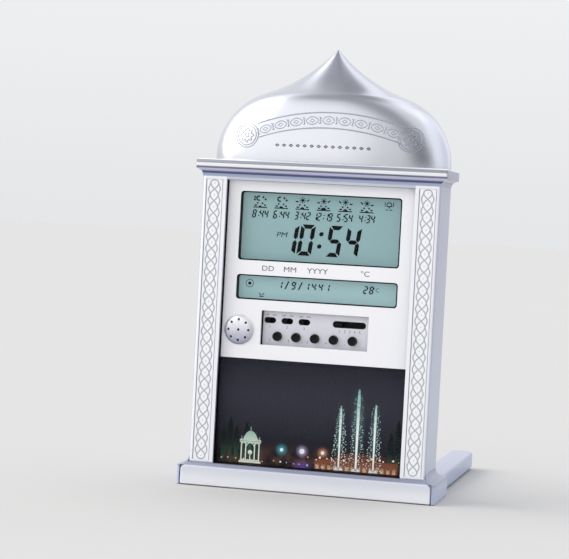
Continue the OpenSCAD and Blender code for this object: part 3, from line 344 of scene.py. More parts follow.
# ------------------------------------------------------ black frame and rims
# The black inner frame shows as a dark gap beside the panel; thin black rims
# line both windows. Frame, rims and control tray are black as painted shade,
# standing in for the shade in the gap and the recesses.
def black_plastic(name, roughness=0.42, gloss=0.15):
    """Moulded black plastic with a fine grain."""
    f = Finish(name)
    grain = f.noise(1200, 2)
    return f.surface(Base_Color=f.blend(grain, ink(10, 11, 13), ink(17, 18, 21)), Specular_IOR_Level=gloss,
                     Roughness=grain * 0.16 + roughness, Normal=f.bump(grain, 0.08, 0.0001))


matt_black_and_painted_shade = black_plastic("frame_black")
# The liner, rims and tray are black as painted shade; the chips, switches and slider body are black plastic.
dress(["panel_liner", "upper_rim", "lower_rim", "control_tray", "board_chips", "key_switches",
       "slide_switches", "slider_body"], matt_black_and_painted_shade)

# -------------------------------------------------------------- front panel
# The white front panel with two windows, the recess for the controls and a
# row of small grey labels between the windows.
panel_white = pearl("panel_white", ink(244, 244, 248), ink(247, 247, 250), 80, 150, 0.38, 0.0)
moulded("front_panel", 0.25, panel_white)
panel_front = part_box("front_panel")[0].y


def flat_marks(name, outlines, front, finish):
    """Marks printed on a face that looks towards -Y, from outlines of x and z in millimetres."""
    form = bmesh.new()
    for outline in outlines:
        form.faces.new([form.verts.new((x * MM, front, z * MM)) for x, z in outline])
    bmesh.ops.triangulate(form, faces=form.faces)
    for face in form.faces:
        face.normal_update()
        if face.normal.y > 0:
            face.normal_flip()
    mesh = bpy.data.meshes.new(name)
    form.to_mesh(mesh)
    form.free()
    mesh.materials.append(finish)
    piece = bpy.data.objects.new(name, mesh)
    bpy.context.collection.objects.link(piece)
    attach(piece, "clock")
    return piece


def lettering(name, text, x, z, size, front, finish, lean=0.0, wide=1.0):
    """Plain letters or numbers printed on a face that looks towards -Y; x and z are its middle."""
    curve = bpy.data.curves.new(name, "FONT")
    curve.body, curve.size = text, size * MM * 1.4
    curve.align_x, curve.align_y = "CENTER", "CENTER"
    curve.resolution_u = 3
    holder = bpy.data.objects.new(name + "_outline", curve)
    bpy.context.collection.objects.link(holder)
    mesh = bpy.data.meshes.new_from_object(holder.evaluated_get(bpy.context.evaluated_depsgraph_get()))
    bpy.data.objects.remove(holder)
    for v in mesh.vertices:
        a, b = v.co.x * wide, v.co.y
        v.co = (x * MM + a + b * lean, front, z * MM + b)
    piece = bpy.data.objects.new(name, mesh)
    mesh.name = name
    bpy.context.collection.objects.link(piece)
    mesh.materials.clear()
    mesh.materials.append(finish)
    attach(piece, "clock")
    return piece


def printed(name, colour, worn, amount):
    """Printing ink with small worn specks."""
    f = Finish(name)
    wear = f.noise(2400, 2)
    return f.surface(Base_Color=f.blend(wear.above(0.62, 0.1) * amount, colour, worn), Roughness=0.5,
                     Specular_IOR_Level=0.1)


grey_print = printed("grey_print", ink(84, 84, 92), ink(140, 140, 148), 0.35)
for name, text, x in (("label_day", "DD", -28.7), ("label_month", "MM", -15.8), ("label_year", "YYYY", 0.2),
                      ("label_degrees", "°C", 27.7)):
    lettering(name, text, x, 126.3, 3.0, panel_front - 0.03 * MM, grey_print, wide=1.2)

# ----------------------------------------------------------------- displays
# Grey-teal liquid crystal glass behind clear windows, with black segments for
# the numbers and small marks. The glass glows faintly and evenly as painted
# light against the shade of its deep recesses.
crystal = Finish("display_glass")
haze = crystal.noise(14, 2)
# Painted light: lighter towards the upper left as lit, and lighter in the lower window against its shade.
lit_upper_left = (crystal.x * -1 + (crystal.z - 0.14)).above(0.045, 0.05)
tone = crystal.blend(lit_upper_left * 0.75 + haze * 0.15, ink(125, 153, 156), ink(136, 163, 164))
tone = crystal.blend(crystal.z.above(0.126, 0.002), ink(142, 171, 174), tone)
crystal = crystal.surface(Base_Color=tone, Roughness=0.5, Specular_IOR_Level=0.1, Emission_Color=tone,
                          Emission_Strength=0.54)
dress(["upper_display", "lower_display"], crystal)


def clear_window(name, veil):
    """Thin clear plastic with a faint smear. The veil is the share of its own grey that shows."""
    f = Finish(name)
    smear = f.noise(60, 3)
    return f.surface(Base_Color=(0.03, 0.035, 0.04, 1), Roughness=smear * 0.06 + 0.04,
                     Alpha=smear * 0.02 + veil)


dress(["upper_lens", "lower_lens"], clear_window("window_clear", 0.02))
guide = Finish("light_guide")
dress(["upper_light", "lower_light"], guide.surface(
    Base_Color=guide.blend(guide.noise(30), ink(226, 236, 232), ink(214, 226, 222)), Roughness=0.5))
segment_ink = printed("segment_ink", ink(8, 12, 13), ink(20, 26, 28), 0.3)
faint_ink = printed("faint_segment_ink", ink(24, 34, 37), ink(40, 52, 56), 0.3)
glass_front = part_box("upper_display")[0].y - 0.03 * MM

# The dark bars of each figure: a top, b and c right, d bottom, e and f left, g middle.
dark_bars = {"0": "abcdef", "1": "bc", "2": "abged", "3": "abgcd", "4": "fgbc", "5": "afgcd", "6": "afgecd",
             "7": "abc", "8": "abcdefg", "9": "abcdfg"}


def disc(x, z, radius, count=14, start=0.0, sweep=360.0):
    """The outline of a disc, or of a part of one."""
    whole = sweep >= 360
    return [(x + radius * math.cos(math.radians(start + sweep * n / (count if whole else count - 1))),
             z + radius * math.sin(math.radians(start + sweep * n / (count if whole else count - 1))))
            for n in range(count)]


def bar(x0, z0, x1, z1, thick):
    """The outline of a straight bar with square ends."""
    long = math.hypot(x1 - x0, z1 - z0)
    a, b = (z0 - z1) / long * thick / 2, (x1 - x0) / long * thick / 2
    return [(x0 + a, z0 + b), (x1 + a, z1 + b), (x1 - a, z1 - b), (x0 - a, z0 - b)]


def hoop(x, z, radius, thick, count=20, start=0.0, sweep=360.0):
    """The outlines of a ring, or of a part of one, as short bars."""
    spots = [(x + radius * math.cos(math.radians(start + sweep * n / count)),
              z + radius * math.sin(math.radians(start + sweep * n / count))) for n in range(count + 1)]
    return [bar(*a, *b, thick) for a, b in zip(spots, spots[1:])]


def figures(text, x, z, height, width, thick, pitch, lean=0.13, gap=0.2, narrow=None):
    """Outlines of seven-bar figures whose first has its middle at x, z. Marks named in narrow take less
    than the pitch."""
    half, side, cut = height / 2, width / 2, gap + 0.25 * thick

    def across(way):
        return [(-side + cut, way * half), (side - cut, way * half),
                (side - gap - thick, way * (half - thick)), (-side + gap + thick, way * (half - thick))]

    def down(way, rise):
        inner, outer, point = side - thick, side, side - thick / 2
        return [(way * point, rise * gap), (way * inner, rise * (gap + thick / 2)),
                (way * inner, rise * (half - thick - gap)), (way * outer, rise * (half - cut)),
                (way * outer, rise * (gap + thick / 2))]

    middle = [(-side + thick / 2 + gap, 0), (-side + thick + gap, thick / 2),
              (side - thick - gap, thick / 2), (side - thick / 2 - gap, 0),
              (side - thick - gap, -thick / 2), (-side + thick + gap, -thick / 2)]
    shapes = {"a": across(1), "d": across(-1), "g": middle, "b": down(1, 1), "c": down(1, -1),
              "f": down(-1, 1), "e": down(-1, -1)}
    outlines, at = [], x
    for mark in text:
        if mark in dark_bars:
            new = [shapes[letter] for letter in dark_bars[mark]]
        elif mark == ":":
            new = [disc(0, level, 0.5 * thick, 12) for level in (half * 0.4, -half * 0.4)]
        else:
            reach = side * 0.8
            new = [[(-reach, -half), (thick - reach, -half), (reach, half), (reach - thick, half)]]
        outlines += [[(at + a + b * lean, z + b) for a, b in outline] for outline in new]
        at += (narrow or {}).get(mark, pitch)
    return outlines


large_time = []
for mark, x, z, tall, wide in (("1", -17.4, 143.6, 17.6, 7.6), ("0", -8.4, 143.7, 17.8, 8.6),
                               ("5", 8.1, 143.8, 17.8, 8.4), ("4", 18.6, 143.8, 17.6, 8.2)):
    large_time += figures(mark, x, z, tall, wide, 2.4, 9, gap=0.16)
large_time += figures(":", -0.1, 144.0, 17.6, 7.6, 2.6, 9)
flat_marks("time_figures", large_time, glass_front, segment_ink)
lettering("time_half", "PM", -22.6, 146.0, 2.9, glass_front, segment_ink, lean=0.2,
          wide=1.25)

small_times = []
for x, text in ((-36.2, "8:44"), (-23.9, "6:44"), (-11.4, "3:42"),
                (0.9, "12:19"), (13.2, "5:54"), (26.0, "4:34")):
    wide = len(text.replace(":", "")) * 2.7 + 1.0
    small_times += figures(text, x - wide / 2 + 1.2, 157.4, 4.7, 2.35, 0.74, 2.7, lean=0.16, gap=0.05,
                           narrow={":": 1.5, "1": 2.3})
flat_marks("six_small_times", small_times, glass_front, segment_ink)

# Above each small time, two rows of little signs: where the sun or the moon
# stands, and a short line for the horizon or the ground with what is on it.
signs = []
for x, kind in ((-36.4, "stars"), (-24.0, "moon"), (-11.6, "low"),
                (0.8, "high"), (13.4, "rise"), (25.8, "dawn")):
    z = 166.2
    if kind in ("stars", "moon"):
        signs += hoop(x - 1.0, z, 1.2, 0.85, 10, 60, 240)
        for a, b in ((1.6, 0.7), (3.0, -0.5), (-3.2, 0.6), (-3.4, -0.8))[:4 if kind == "stars" else 2]:
            signs += [bar(x + a - 0.7, z + b, x + a + 0.7, z + b, 0.5),
                      bar(x + a, z + b - 0.7, x + a, z + b + 0.7, 0.5)]
    else:
        signs.append(disc(x, z, 0.9))
        for angle in range(0, 360, 45):
            a, b = math.cos(math.radians(angle)), math.sin(math.radians(angle))
            signs.append(bar(x + 1.1 * a, z + 1.1 * b, x + 1.8 * a, z + 1.8 * b, 0.5))
        tail = {"low": 3.4, "high": 3.2, "rise": -3.4, "dawn": -3.2}[kind]
        signs += [bar(x + tail * 0.75, z - 0.6, x + tail * 1.12, z + 0.6, 0.75),
                  bar(x - tail * 0.7, z - 0.9, x - tail * 1.2, z - 0.9, 0.75)]
    z = 162.3
    signs += [bar(x - 4.0, z - 1.2, x + 4.0, z - 1.2, 0.62)]
    hill = {"stars": 0.2, "moon": 0.6, "low": 0.7, "high": 1.5, "rise": 1.0, "dawn": 0.3}[kind]
    signs += [disc(x, z - 1.2, 0.9 + hill * 0.5, 10, 0, 180), bar(x - 3.4, z - 0.1, x - 1.9, z - 0.1, 0.8),
              bar(x + 2.1, z + 0.1, x + 3.4, z + 0.1, 0.8), disc(x + 1.3, z + 1.1, 0.55, 8),
              disc(x - 1.6, z + 1.2, 0.55, 8)]
flat_marks("sun_and_moon_signs", signs, glass_front, faint_ink)

bell = hoop(38.6, 166.0, 1.35, 0.55, 10, -20, 220)
bell += [bar(36.9, 165.2, 40.3, 165.2, 0.5), disc(38.6, 164.5, 0.45, 8)]
bell += hoop(38.6, 166.2, 2.5, 0.42, 5, -30, 60) + hoop(38.6, 166.2, 2.5, 0.42, 5, 150, 60)
bell += [bar(36.6, 163.2, 38.0, 163.2, 0.5), bar(38.8, 163.2, 40.4, 163.2, 0.5)]
flat_marks("bell_sign", bell, glass_front, faint_ink)
flat_marks("date_figures", figures("1/9/1441", -22.2, 117.3, 4.5, 2.6, 0.8, 3.95, lean=0.15, gap=0.08),
           glass_front, segment_ink)
flat_marks("temperature_figures", figures("28", 27.6, 117.3, 4.5, 2.5, 0.78, 3.4, lean=0.15, gap=0.06),
           glass_front, segment_ink)
lettering("temperature_unit", "°C", 33.8, 117.4, 2.3, glass_front, segment_ink)
flat_marks("dial_sign", hoop(-40.2, 117.3, 2.2, 0.34), glass_front, faint_ink)
flat_marks("dial_sign_centre", [disc(-40.2, 117.3, 0.95)], glass_front, segment_ink)
flat_marks("cup_sign", [bar(-34.4, 111.9, -33.2, 111.1, 0.5), bar(-31.4, 111.9, -32.6, 111.1, 0.5),
                        bar(-34.2, 110.2, -31.6, 110.2, 0.6)], glass_front, faint_ink)

# -------------------------------------------------------- boards and insides
# Behind the panel: the holder and board of the displays, the key board, the
# ribbon between them and the speaker's works.
board = Finish("circuit_board")
weave = board.noise(1500, 2)
dress(["main_board", "key_board"], board.surface(
    Base_Color=board.blend(weave, ink(22, 84, 44), ink(32, 104, 58)), Roughness=weave * 0.2 + 0.3))
inner = Finish("inner_plastic")
swirl = inner.noise(60, 3)
dress(["display_holder", "picture_back", "ribbon_cable", "contact_strips"], inner.surface(
    Base_Color=inner.blend(swirl, ink(222, 221, 212), ink(208, 207, 198)), Roughness=swirl * 0.2 + 0.4))
dress(["speaker_basket", "battery_contacts"], zinc)
dress(["speaker_cone", "speaker_magnet"], matt_black_and_painted_shade)
sleeve = Finish("cell_sleeve")
dress(["batteries"], sleeve.surface(
    Base_Color=sleeve.blend((sleeve.x * 60).math("SINE").above(0.2, 0.05), ink(30, 74, 52), ink(34, 40, 44)),
    Metallic=0.6, Roughness=sleeve.noise(400) * 0.1 + 0.3))


# ----------------------------------------------------------- speaker grille
# A shallow dome moulded in plastic and lacquered silver, with one hole in the
# middle and eight round it.
def lacquer(name, tones, roughness, metal, side_shade=None):
    """Silver lacquer whose tone follows the height in millimetres, with a fine flake grain. Faces that
    look sideways can take a painted shade of their own."""
    f = Finish(name)
    low, high = tones[0][0], tones[-1][0]
    tone = f.add("ShaderNodeValToRGB", {"stops": [((z - low) / (high - low), colour) for z, colour in tones]},
                 {0: (f.z - low * MM) / ((high - low) * MM)})
    if side_shade:
        tone = f.blend(facing(f).math("ABSOLUTE").above(0.8, 0.1), tone, side_shade)
    cloud, flake = f.noise(34, 3), f.noise(2200, 1)
    return f.surface(Base_Color=f.blend((cloud - 0.5) * 0.12 + 0.06, tone, ink(170, 172, 184)),
                     Metallic=metal, Roughness=(cloud - 0.5) * 0.06 + (flake - 0.5) * 0.04 + roughness,
                     Normal=f.bump(flake, 0.008, 0.0001), Coat_Weight=0.3, Coat_Roughness=0.1)


# The grille's silver is painted darker towards the bottom as shade and brighter at the top as lit.
grille_silver = lacquer("grille_silver", [(82, ink(160, 161, 184)), (88, ink(196, 197, 212)),
                                          (94, ink(236, 237, 242)), (99, ink(244, 245, 248))], 0.3, 0.4)
moulded("speaker_grille", 0.12, grille_silver, flat=40)

# ----------------------------------------------------------------- controls
# A grey plate set back in the panel carries five black keys, three small slide
# switches and one long slider, with tiny printed marks beside them.
plate_grey = pearl("plate_grey", ink(212, 212, 222), ink(220, 220, 228), 83, 102, 0.4, 0.0)
moulded("control_plate", 0.12, plate_grey)
key_black = black_plastic("key_black", 0.22, 0.14)
for n in range(1, 6):
    moulded(f"key_{n}", 0.25, key_black, f"key_{n}_body", flat=40)
for n in range(1, 4):
    moulded(f"switch_knob_{n}", 0.15, key_black, f"switch_{n}_body")
moulded("slider_knob", 0.15, key_black, "slider")
plate_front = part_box("control_plate")[0].y - 0.03 * MM
slot_pitch, key_pitch, step_pitch = 10, 10.95, 2.9
marks = []
for n in range(3):
    centre = -26.6 + n * slot_pitch
    marks += [(f"switch_{n + 1}_off", "OFF", centre - 2.0, 99.9, 1.05),
              (f"switch_{n + 1}_on", "ON", centre + 2.4, 99.9, 1.05),
              (f"switch_{n + 1}_number", str(n + 1), centre, 93.2, 1.5)]
marks += [(f"slider_step_{n + 1}", str(n + 1), 14.2 + n * step_pitch, 93.0, 1.5) for n in range(5)]
marks += [(f"key_{n + 1}_sign", sign, (n - 2) * key_pitch - 4.4, 85.6, 1.6) for n, sign in enumerate("123+-")]
for name, text, x, z, size in marks:
    lettering(name, text, x, z, size, plate_front, grey_print)

# ------------------------------------------------------------ picture panel
# A printed sheet of a garden by night under a clear cover: a dark sky, a lit
# pavilion, a fountain with three jets, an arcade, trees and lamps.
night = Finish("night_print")
shade = night.blend(night.z.above(0.034, 0.02), ink(22, 21, 30), ink(50, 51, 63))
shade = night.blend(night.z.above(0.068, 0.016), shade, ink(29, 30, 39))
glow = (0.021 - night.z).above(-0.001, 0.007) * night.noise(160, 3).above(0.5, 0.2)
shade = night.blend(glow, shade, ink(92, 62, 52))
for x, z, wide, tall, colour in (
        (-15.5, 23.5, 5.0, 5.0, (70, 170, 180)), (-3.5, 23.5, 5.0, 5.0, (190, 176, 214)),
        (8.5, 23.5, 4.5, 4.5, (214, 150, 110)), (-3, 15.0, 9.0, 5.0, (104, 72, 150)),
        (26, 17.0, 22.0, 8.0, (140, 86, 58)), (44, 17.0, 8.0, 8.0, (110, 70, 78)),
        (-34, 22.0, 10.0, 14.0, (52, 84, 84)), (18, 34.0, 4.5, 24.0, (66, 92, 96)),
        (28, 40.0, 6.0, 30.0, (76, 102, 106)), (38, 34.0, 4.5, 24.0, (66, 92, 96))):
    far = (((night.x - x * MM) / (wide * MM)) ** 2 + ((night.z - z * MM) / (tall * MM)) ** 2) ** 0.5
    shade = night.blend((1 - far.above(0.5, 0.5)) ** 1.6, shade, ink(*colour))
dress(["picture_print"], night.surface(Base_Color=shade, Roughness=0.45, Specular_IOR_Level=0.1))
dress(["picture_cover"], clear_window("picture_cover_clear", 0.015))


def print_ink(name, low, high, z_low, z_high, speck=0.35):
    """A printed tone that runs from low to high up the picture, broken by the print's grain."""
    f = Finish(name)
    speckle = f.noise(900, 3)
    mask = f.z.above((z_low + z_high) / 2 * MM, (z_high - z_low) / 2 * MM) + (speckle - 0.5) * speck
    return f.surface(Base_Color=f.blend(mask, low, high), Roughness=0.45, Specular_IOR_Level=0.1)


print_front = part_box("picture_print")[0].y - 0.03 * MM
trees = []
for x, tall, wide in ((-50, 19, 3.4), (-46.2, 26, 3.0), (-42.4, 21, 3.2), (-36.5, 24, 2.8), (-31.5, 17, 3.6),
                      (47.5, 24, 3.0), (51.5, 31, 3.2)):
    trees.append([(x + wide * 0.5 * math.sin(t) * (1 - 0.25 * math.cos(t)),
                   14.2 + tall * (1 - math.cos(t)) / 2) for t in (2 * math.pi * n / 18 for n in range(18))])
leaf_ink = print_ink("print_leaf", ink(52, 84, 66), ink(16, 24, 24), 14, 30, 0.9)
flat_marks("print_cypresses", trees, print_front, leaf_ink)

stone = print_ink("print_lit_stone", ink(246, 250, 230), ink(128, 178, 166), 18, 38)
pavilion = [bar(-40.5, 15.0, -27.5, 15.0, 1.0), bar(-39.8, 16.0, -28.2, 16.0, 0.8),
            bar(-40.2, 26.4, -27.8, 26.4, 0.8), bar(-38.8, 27.3, -29.2, 27.3, 0.7)]
pavilion += [bar(x, 16.0, x, 26.2, 0.65) for x in (-39.2, -36.6, -31.4, -28.8)]
for x, wide in ((-37.9, 2.0), (-34.0, 4.5), (-30.1, 2.0)):
    pavilion += hoop(x, 26.0 - wide * 0.5, wide * 0.5, 0.5, 10, 0, 180)
pavilion += [[(-34 + 4.4 * math.cos(t) * (1 - 0.12 * math.sin(t)), 27.6 + 5.4 * math.sin(t) ** 1.25)
              for t in (math.pi * n / 16 for n in range(17))],
             bar(-34, 32.6, -34, 35.4, 0.35), disc(-34, 34.0, 0.45, 8), disc(-34, 20.6, 1.3, 10),
             bar(-34, 16.0, -34, 20.6, 0.5)]
for x in (-39.2, -28.8):
    pavilion += [disc(x, 27.0, 1.2, 10, 0, 180), bar(x, 28.0, x, 29.6, 0.3)]
flat_marks("print_pavilion", pavilion, print_front - 0.01 * MM, stone)

arcade = [[(4, 14.2), (18, 14.2), (18, 21.2), (4, 19.6)], [(18, 14.2), (40, 14.2), (40, 24.2), (18, 24.2)],
          [(40, 14.2), (52, 14.2), (52, 20.6), (40, 20.6)]]
flat_marks("print_arcade", arcade, print_front - 0.01 * MM,
           print_ink("print_warm_wall", ink(150, 88, 60), ink(96, 56, 46), 14, 26, 1.1))
arches = []
for n in range(14):
    x = 5.8 + n * 3.4
    arches += [[(x - 0.9, 14.4), (x + 0.9, 14.4)] + disc(x, 17.0, 0.9, 7, 0, 180)]
for n in range(6):
    x = 20.4 + n * 3.5
    arches += [[(x - 0.8, 20.4), (x + 0.8, 20.4)] + disc(x, 21.9, 0.8, 7, 0, 180)]
arch_ink = print_ink("print_arch_shade", ink(226, 190, 150), ink(66, 36, 36), 14.5, 18.5, 1.0)
flat_marks("print_arches", arches, print_front - 0.02 * MM, arch_ink)

jets, falls = [], []
for x, tall, wide in ((18, 36, 0.75), (28, 46, 0.95), (38, 38, 0.75)):
    left = [(x - wide * (0.6 + 0.7 * (n / 12) ** 2 - 0.9 * (n / 12) ** 10), 15 + tall * n / 12)
            for n in range(13)]
    jets.append(left + [(2 * x - a, b) for a, b in reversed(left)])
    jets += [[(x - 2.6, 14.4), (x + 2.6, 14.4), (x + 1.9, 15.8), (x - 1.9, 15.8)]]
    for way in (-1, 1):
        for reach, share in ((3.6, 0.98), (2.0, 0.86)):
            falls.append([(x + way * (0.3 + reach * t), 15 + tall * share * (1 - t * t))
                          for t in (n / 9 for n in range(10))])
flat_marks("print_fountain_jets", jets, print_front - 0.03 * MM,
           print_ink("print_water", ink(250, 253, 250), ink(140, 196, 192), 30, 62, 0.6))


class Form(Tree):
    """A shape in the making by Geometry Nodes, with named sizes that each piece made from it can set."""

    def __init__(self, name, **sizes):
        tree = bpy.data.node_groups.new(name, "GeometryNodeTree")
        super().__init__(tree)
        kinds = {float: "Float", int: "Int", bpy.types.Object: "Object", bpy.types.Material: "Material"}
        tree.interface.new_socket("Geometry", in_out="INPUT", socket_type="NodeSocketGeometry")
        tree.interface.new_socket("Geometry", in_out="OUTPUT", socket_type="NodeSocketGeometry")
        self.keys = {}
        for size, kind in sizes.items():
            socket = tree.interface.new_socket(size, in_out="INPUT", socket_type="NodeSocket" + kinds[kind])
            self.keys[size] = socket.identifier
        self.start = self.add("NodeGroupInput")

    def size(self, name):
        return self.start.also(name)

    def close(self, shape):
        """Ends the tree: one plain mesh in the piece's finish."""
        shape = self.add("GeometryNodeRealizeInstances", {}, {0: shape})
        shape = self.add("GeometryNodeSetMaterial", {}, {0: shape, "Material": self.size("finish")})
        self.add("NodeGroupOutput", {}, {0: shape})

    def make(self, name, slot, points=(), edges=(), body="clock", flat=60, **sizes):
        mesh = bpy.data.meshes.new(name + "_path")
        mesh.from_pydata([tuple(c * MM for c in point) for point in points], list(edges), [])
        piece = bpy.data.objects.new(name, mesh)
        bpy.context.collection.objects.link(piece)
        maker = piece.modifiers.new("maker", "NODES")
        maker.node_group = self.tree
        for size, value in sizes.items():
            maker[self.keys[size]] = value
        made = bpy.data.meshes.new_from_object(piece.evaluated_get(bpy.context.evaluated_depsgraph_get()))
        piece.modifiers.remove(maker)
        piece.data = made
        made.name = name
        made.shade_smooth()
        made.set_sharp_from_angle(angle=math.radians(flat))
        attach(piece, body)
        return piece


# The lamps of the garden lie scattered along two rows, and the drops of the
# fountain along its falls, each a small bright spot of its own size.
lamps = Form("garden_lamps", count=int, seed=int, spot=float, scatter=float, finish=bpy.types.Material)
row = lamps.add("GeometryNodeMeshToCurve", {}, {0: lamps.start})
spots = lamps.add("GeometryNodeCurveToPoints", {"mode": "COUNT"}, {0: row, "Count": lamps.size("count")})


def chance(low, high, shift):
    """A random number for each lamp. The shift keeps its draws apart from the others'."""
    return lamps.add("FunctionNodeRandomValue", {"data_type": "FLOAT"},
                     {2: low, 3: high, "Seed": lamps.size("seed") + shift}, out=1)


aside, lift, swell = chance(-1.0, 1.0, 0), chance(-1.0, 1.0, 7), chance(0.35, 1.0, 3)
offset = lamps.add("ShaderNodeCombineXYZ", {}, {0: aside * lamps.size("scatter"),
                                                2: lift * lamps.size("scatter") * 0.5})
spots = lamps.add("GeometryNodeSetPosition", {}, {0: spots, "Offset": offset})
spot = lamps.add("GeometryNodeMeshCircle", {"fill_type": "NGON"}, {
    "Vertices": 10, "Radius": lamps.size("spot")})
spot = lamps.add("GeometryNodeTransform", {}, {0: spot, "Rotation": (math.pi / 2, 0, 0)})
lamps.close(lamps.add("GeometryNodeInstanceOnPoints", {}, {0: spots, "Instance": spot, "Scale": swell}))
lamp_y = print_front / MM - 0.04
for name, low, high, count, seed, spot, colour, tint in (
        ("print_lamps_white", (-52, 16.4), (18, 16.0), 17, 3, 0.62, (244, 250, 244), (190, 220, 220)),
        ("print_lamps_warm", (0, 20.0), (52, 22.0), 16, 5, 0.7, (255, 226, 196), (236, 176, 140))):
    lamp_ink = print_ink(name + "_ink", ink(*tint), ink(*colour), 15, 18)
    lamps.make(name, "picture_paper", [(low[0], lamp_y, low[1]), (high[0], lamp_y, high[1])], [(0, 1)],
               count=count, seed=seed, spot=spot * MM, scatter=1.6 * MM, finish=lamp_ink)

points, edges = [], []
for fall in falls:
    edges += [(len(points) + n, len(points) + n + 1) for n in range(len(fall) - 1)]
    points += [(x, lamp_y + 0.005, z) for x, z in fall]
drop_ink = print_ink("print_drops", ink(196, 226, 222), ink(110, 150, 150), 20, 60, 1.2)
lamps.make("print_fountain_drops", "picture_paper", points, edges, count=34, seed=11, spot=0.42 * MM,
           scatter=0.75 * MM, finish=drop_ink)
lamps.make("print_glows", "picture_paper", [(-15.5, lamp_y, 23.5), (8.5, lamp_y, 23.5)], [(0, 1)], count=3,
           seed=2, spot=1.5 * MM, scatter=0.0,
           finish=print_ink("print_glow_core", ink(236, 250, 250), ink(250, 244, 252), 22, 26, 0.1))

# ------------------------------------------------------------------ cornice
# The moulded crown between housing and dome: a round bead over a fascia and a
# sunk groove, coves at the ends, lacquered silver with painted light and shade
# by height, and painted bluish shade below.
crown_low, crown_high = (c.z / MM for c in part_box("cornice"))
# Painted light and shade by height, from the bottom: bluish shade, the groove's dark shade, the fascia's
# bluish shade, shade under the bead, the bead's highlight, shade over it and a highlight on the top edge; the
# end faces get painted shade.
crown_silver = lacquer("crown_silver", [(crown_low + rise, tone) for rise, tone in (
    (0, ink(164, 176, 204)), (1.6, ink(166, 176, 206)), (1.8, ink(78, 84, 132)),
    (2.8, ink(78, 84, 132)), (3.0, ink(184, 186, 214)), (4.5, ink(178, 180, 208)),
    (4.8, ink(120, 122, 144)), (5.4, ink(126, 128, 150)), (5.8, ink(252, 253, 254)),
    (7.2, ink(252, 253, 254)), (7.6, ink(142, 144, 157)), (9.2, ink(156, 158, 170)),
    (9.5, ink(250, 251, 253)), (crown_high - crown_low, ink(250, 251, 253)))], 0.34, 0.25, ink(142, 147, 168))
moulded("cornice", 0.3, crown_silver)

# --------------------------------------------------------------------- dome
# Two thin silver shells that meet at a seam: puffed shoulders, hollow flanks
# and a pointed tip. The front bulges far more than the back.
dome_low, dome_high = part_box("dome_front")
dome_wide, dome_tall = 138.5, dome_high.z / MM - dome_low.z / MM
shoulder_r, join, shoulder_z = 40.4, math.radians(18), 1.8
shoulder_x = dome_wide / 2 - shoulder_r
join_x, join_z = shoulder_x + shoulder_r * math.sin(join), shoulder_z + shoulder_r * math.cos(join)
flank_turn = math.atan2(dome_tall - join_z, join_x) - join
flank_r = math.hypot(join_x, dome_tall - join_z) / (2 * math.sin(flank_turn))
start = -math.asin(shoulder_z / shoulder_r)
seam, dome_foot = dome_high.y / MM + 0.05, dome_low.z / MM
front_deep, back_deep = dome_high.y / MM - dome_low.y / MM, 9.5

dome = Form("dome_shell", deep=float, way=float, rows=int, columns=int, finish=bpy.types.Material)
sheet = dome.add("GeometryNodeMeshGrid", {}, {
    "Size X": 1.0, "Size Y": 1.0, "Vertices X": dome.size("columns"), "Vertices Y": dome.size("rows")})
spot = dome.add("ShaderNodeSeparateXYZ", {}, {0: dome.add("GeometryNodeInputPosition")})
share = (spot.also(1) + 0.5).math("MINIMUM", 0.9985)
sideways = ((spot + 0.5) * math.pi).math("COSINE") * -1
arc = share * (2 * (math.pi / 2 - join - start)) + start
hollow = (share - 0.5) * (4 * flank_turn) + join
on_flank = share.math("GREATER_THAN", 0.5)
shoulder_w = arc.math("COSINE") * shoulder_r + shoulder_x
shoulder_h = arc.math("SINE") * shoulder_r + shoulder_z
flank_w = (join_x - (hollow.math("SINE") - math.sin(join)) * flank_r).math("MAXIMUM", 0.0)
flank_h = join_z + (math.cos(join) - hollow.math("COSINE")) * flank_r
half_wide = shoulder_w + (flank_w - shoulder_w) * on_flank
tall = shoulder_h + (flank_h - shoulder_h) * on_flank
bulge = (1 - sideways.math("ABSOLUTE") ** 2.5).math("MAXIMUM", 0.0) ** (1 / 2.2)
depth = (half_wide / (dome_wide / 2)) ** 0.72 * bulge * dome.size("deep") + 0.05
skin = dome.add("ShaderNodeCombineXYZ", {}, {
    0: half_wide * sideways * MM, 1: (depth * dome.size("way") + seam) * MM, 2: (tall + dome_foot) * MM})
sheet = dome.add("GeometryNodeSetPosition", {}, {0: sheet, "Position": skin})
is_back = dome.size("way").math("GREATER_THAN", 0.0)
flipped = dome.add("GeometryNodeFlipFaces", {}, {0: sheet})
dome.close(dome.add("GeometryNodeSwitch", {"input_type": "GEOMETRY"}, {0: is_back, 1: sheet, 2: flipped}))

dome_silver = lacquer("dome_silver", [(dome_foot, ink(212, 213, 219)), (dome_foot + 30, ink(206, 207, 215)),
                                      (dome_foot + 68, ink(196, 198, 208))], 0.22, 0.9)
for name, deep, way, node in (("dome_front_shell", front_deep, -1.0, "dome_front"),
                              ("dome_back_shell", back_deep, 1.0, "dome_back")):
    shell = dome.make(name, "silver_paint", deep=deep, way=way, rows=151, columns=161, finish=dome_silver)
    wall = shell.modifiers.new("wall", "SOLIDIFY")
    wall.thickness, wall.offset = 1.2 * MM, -1
    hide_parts(node)
front_shell = bpy.data.objects["dome_front_shell"]


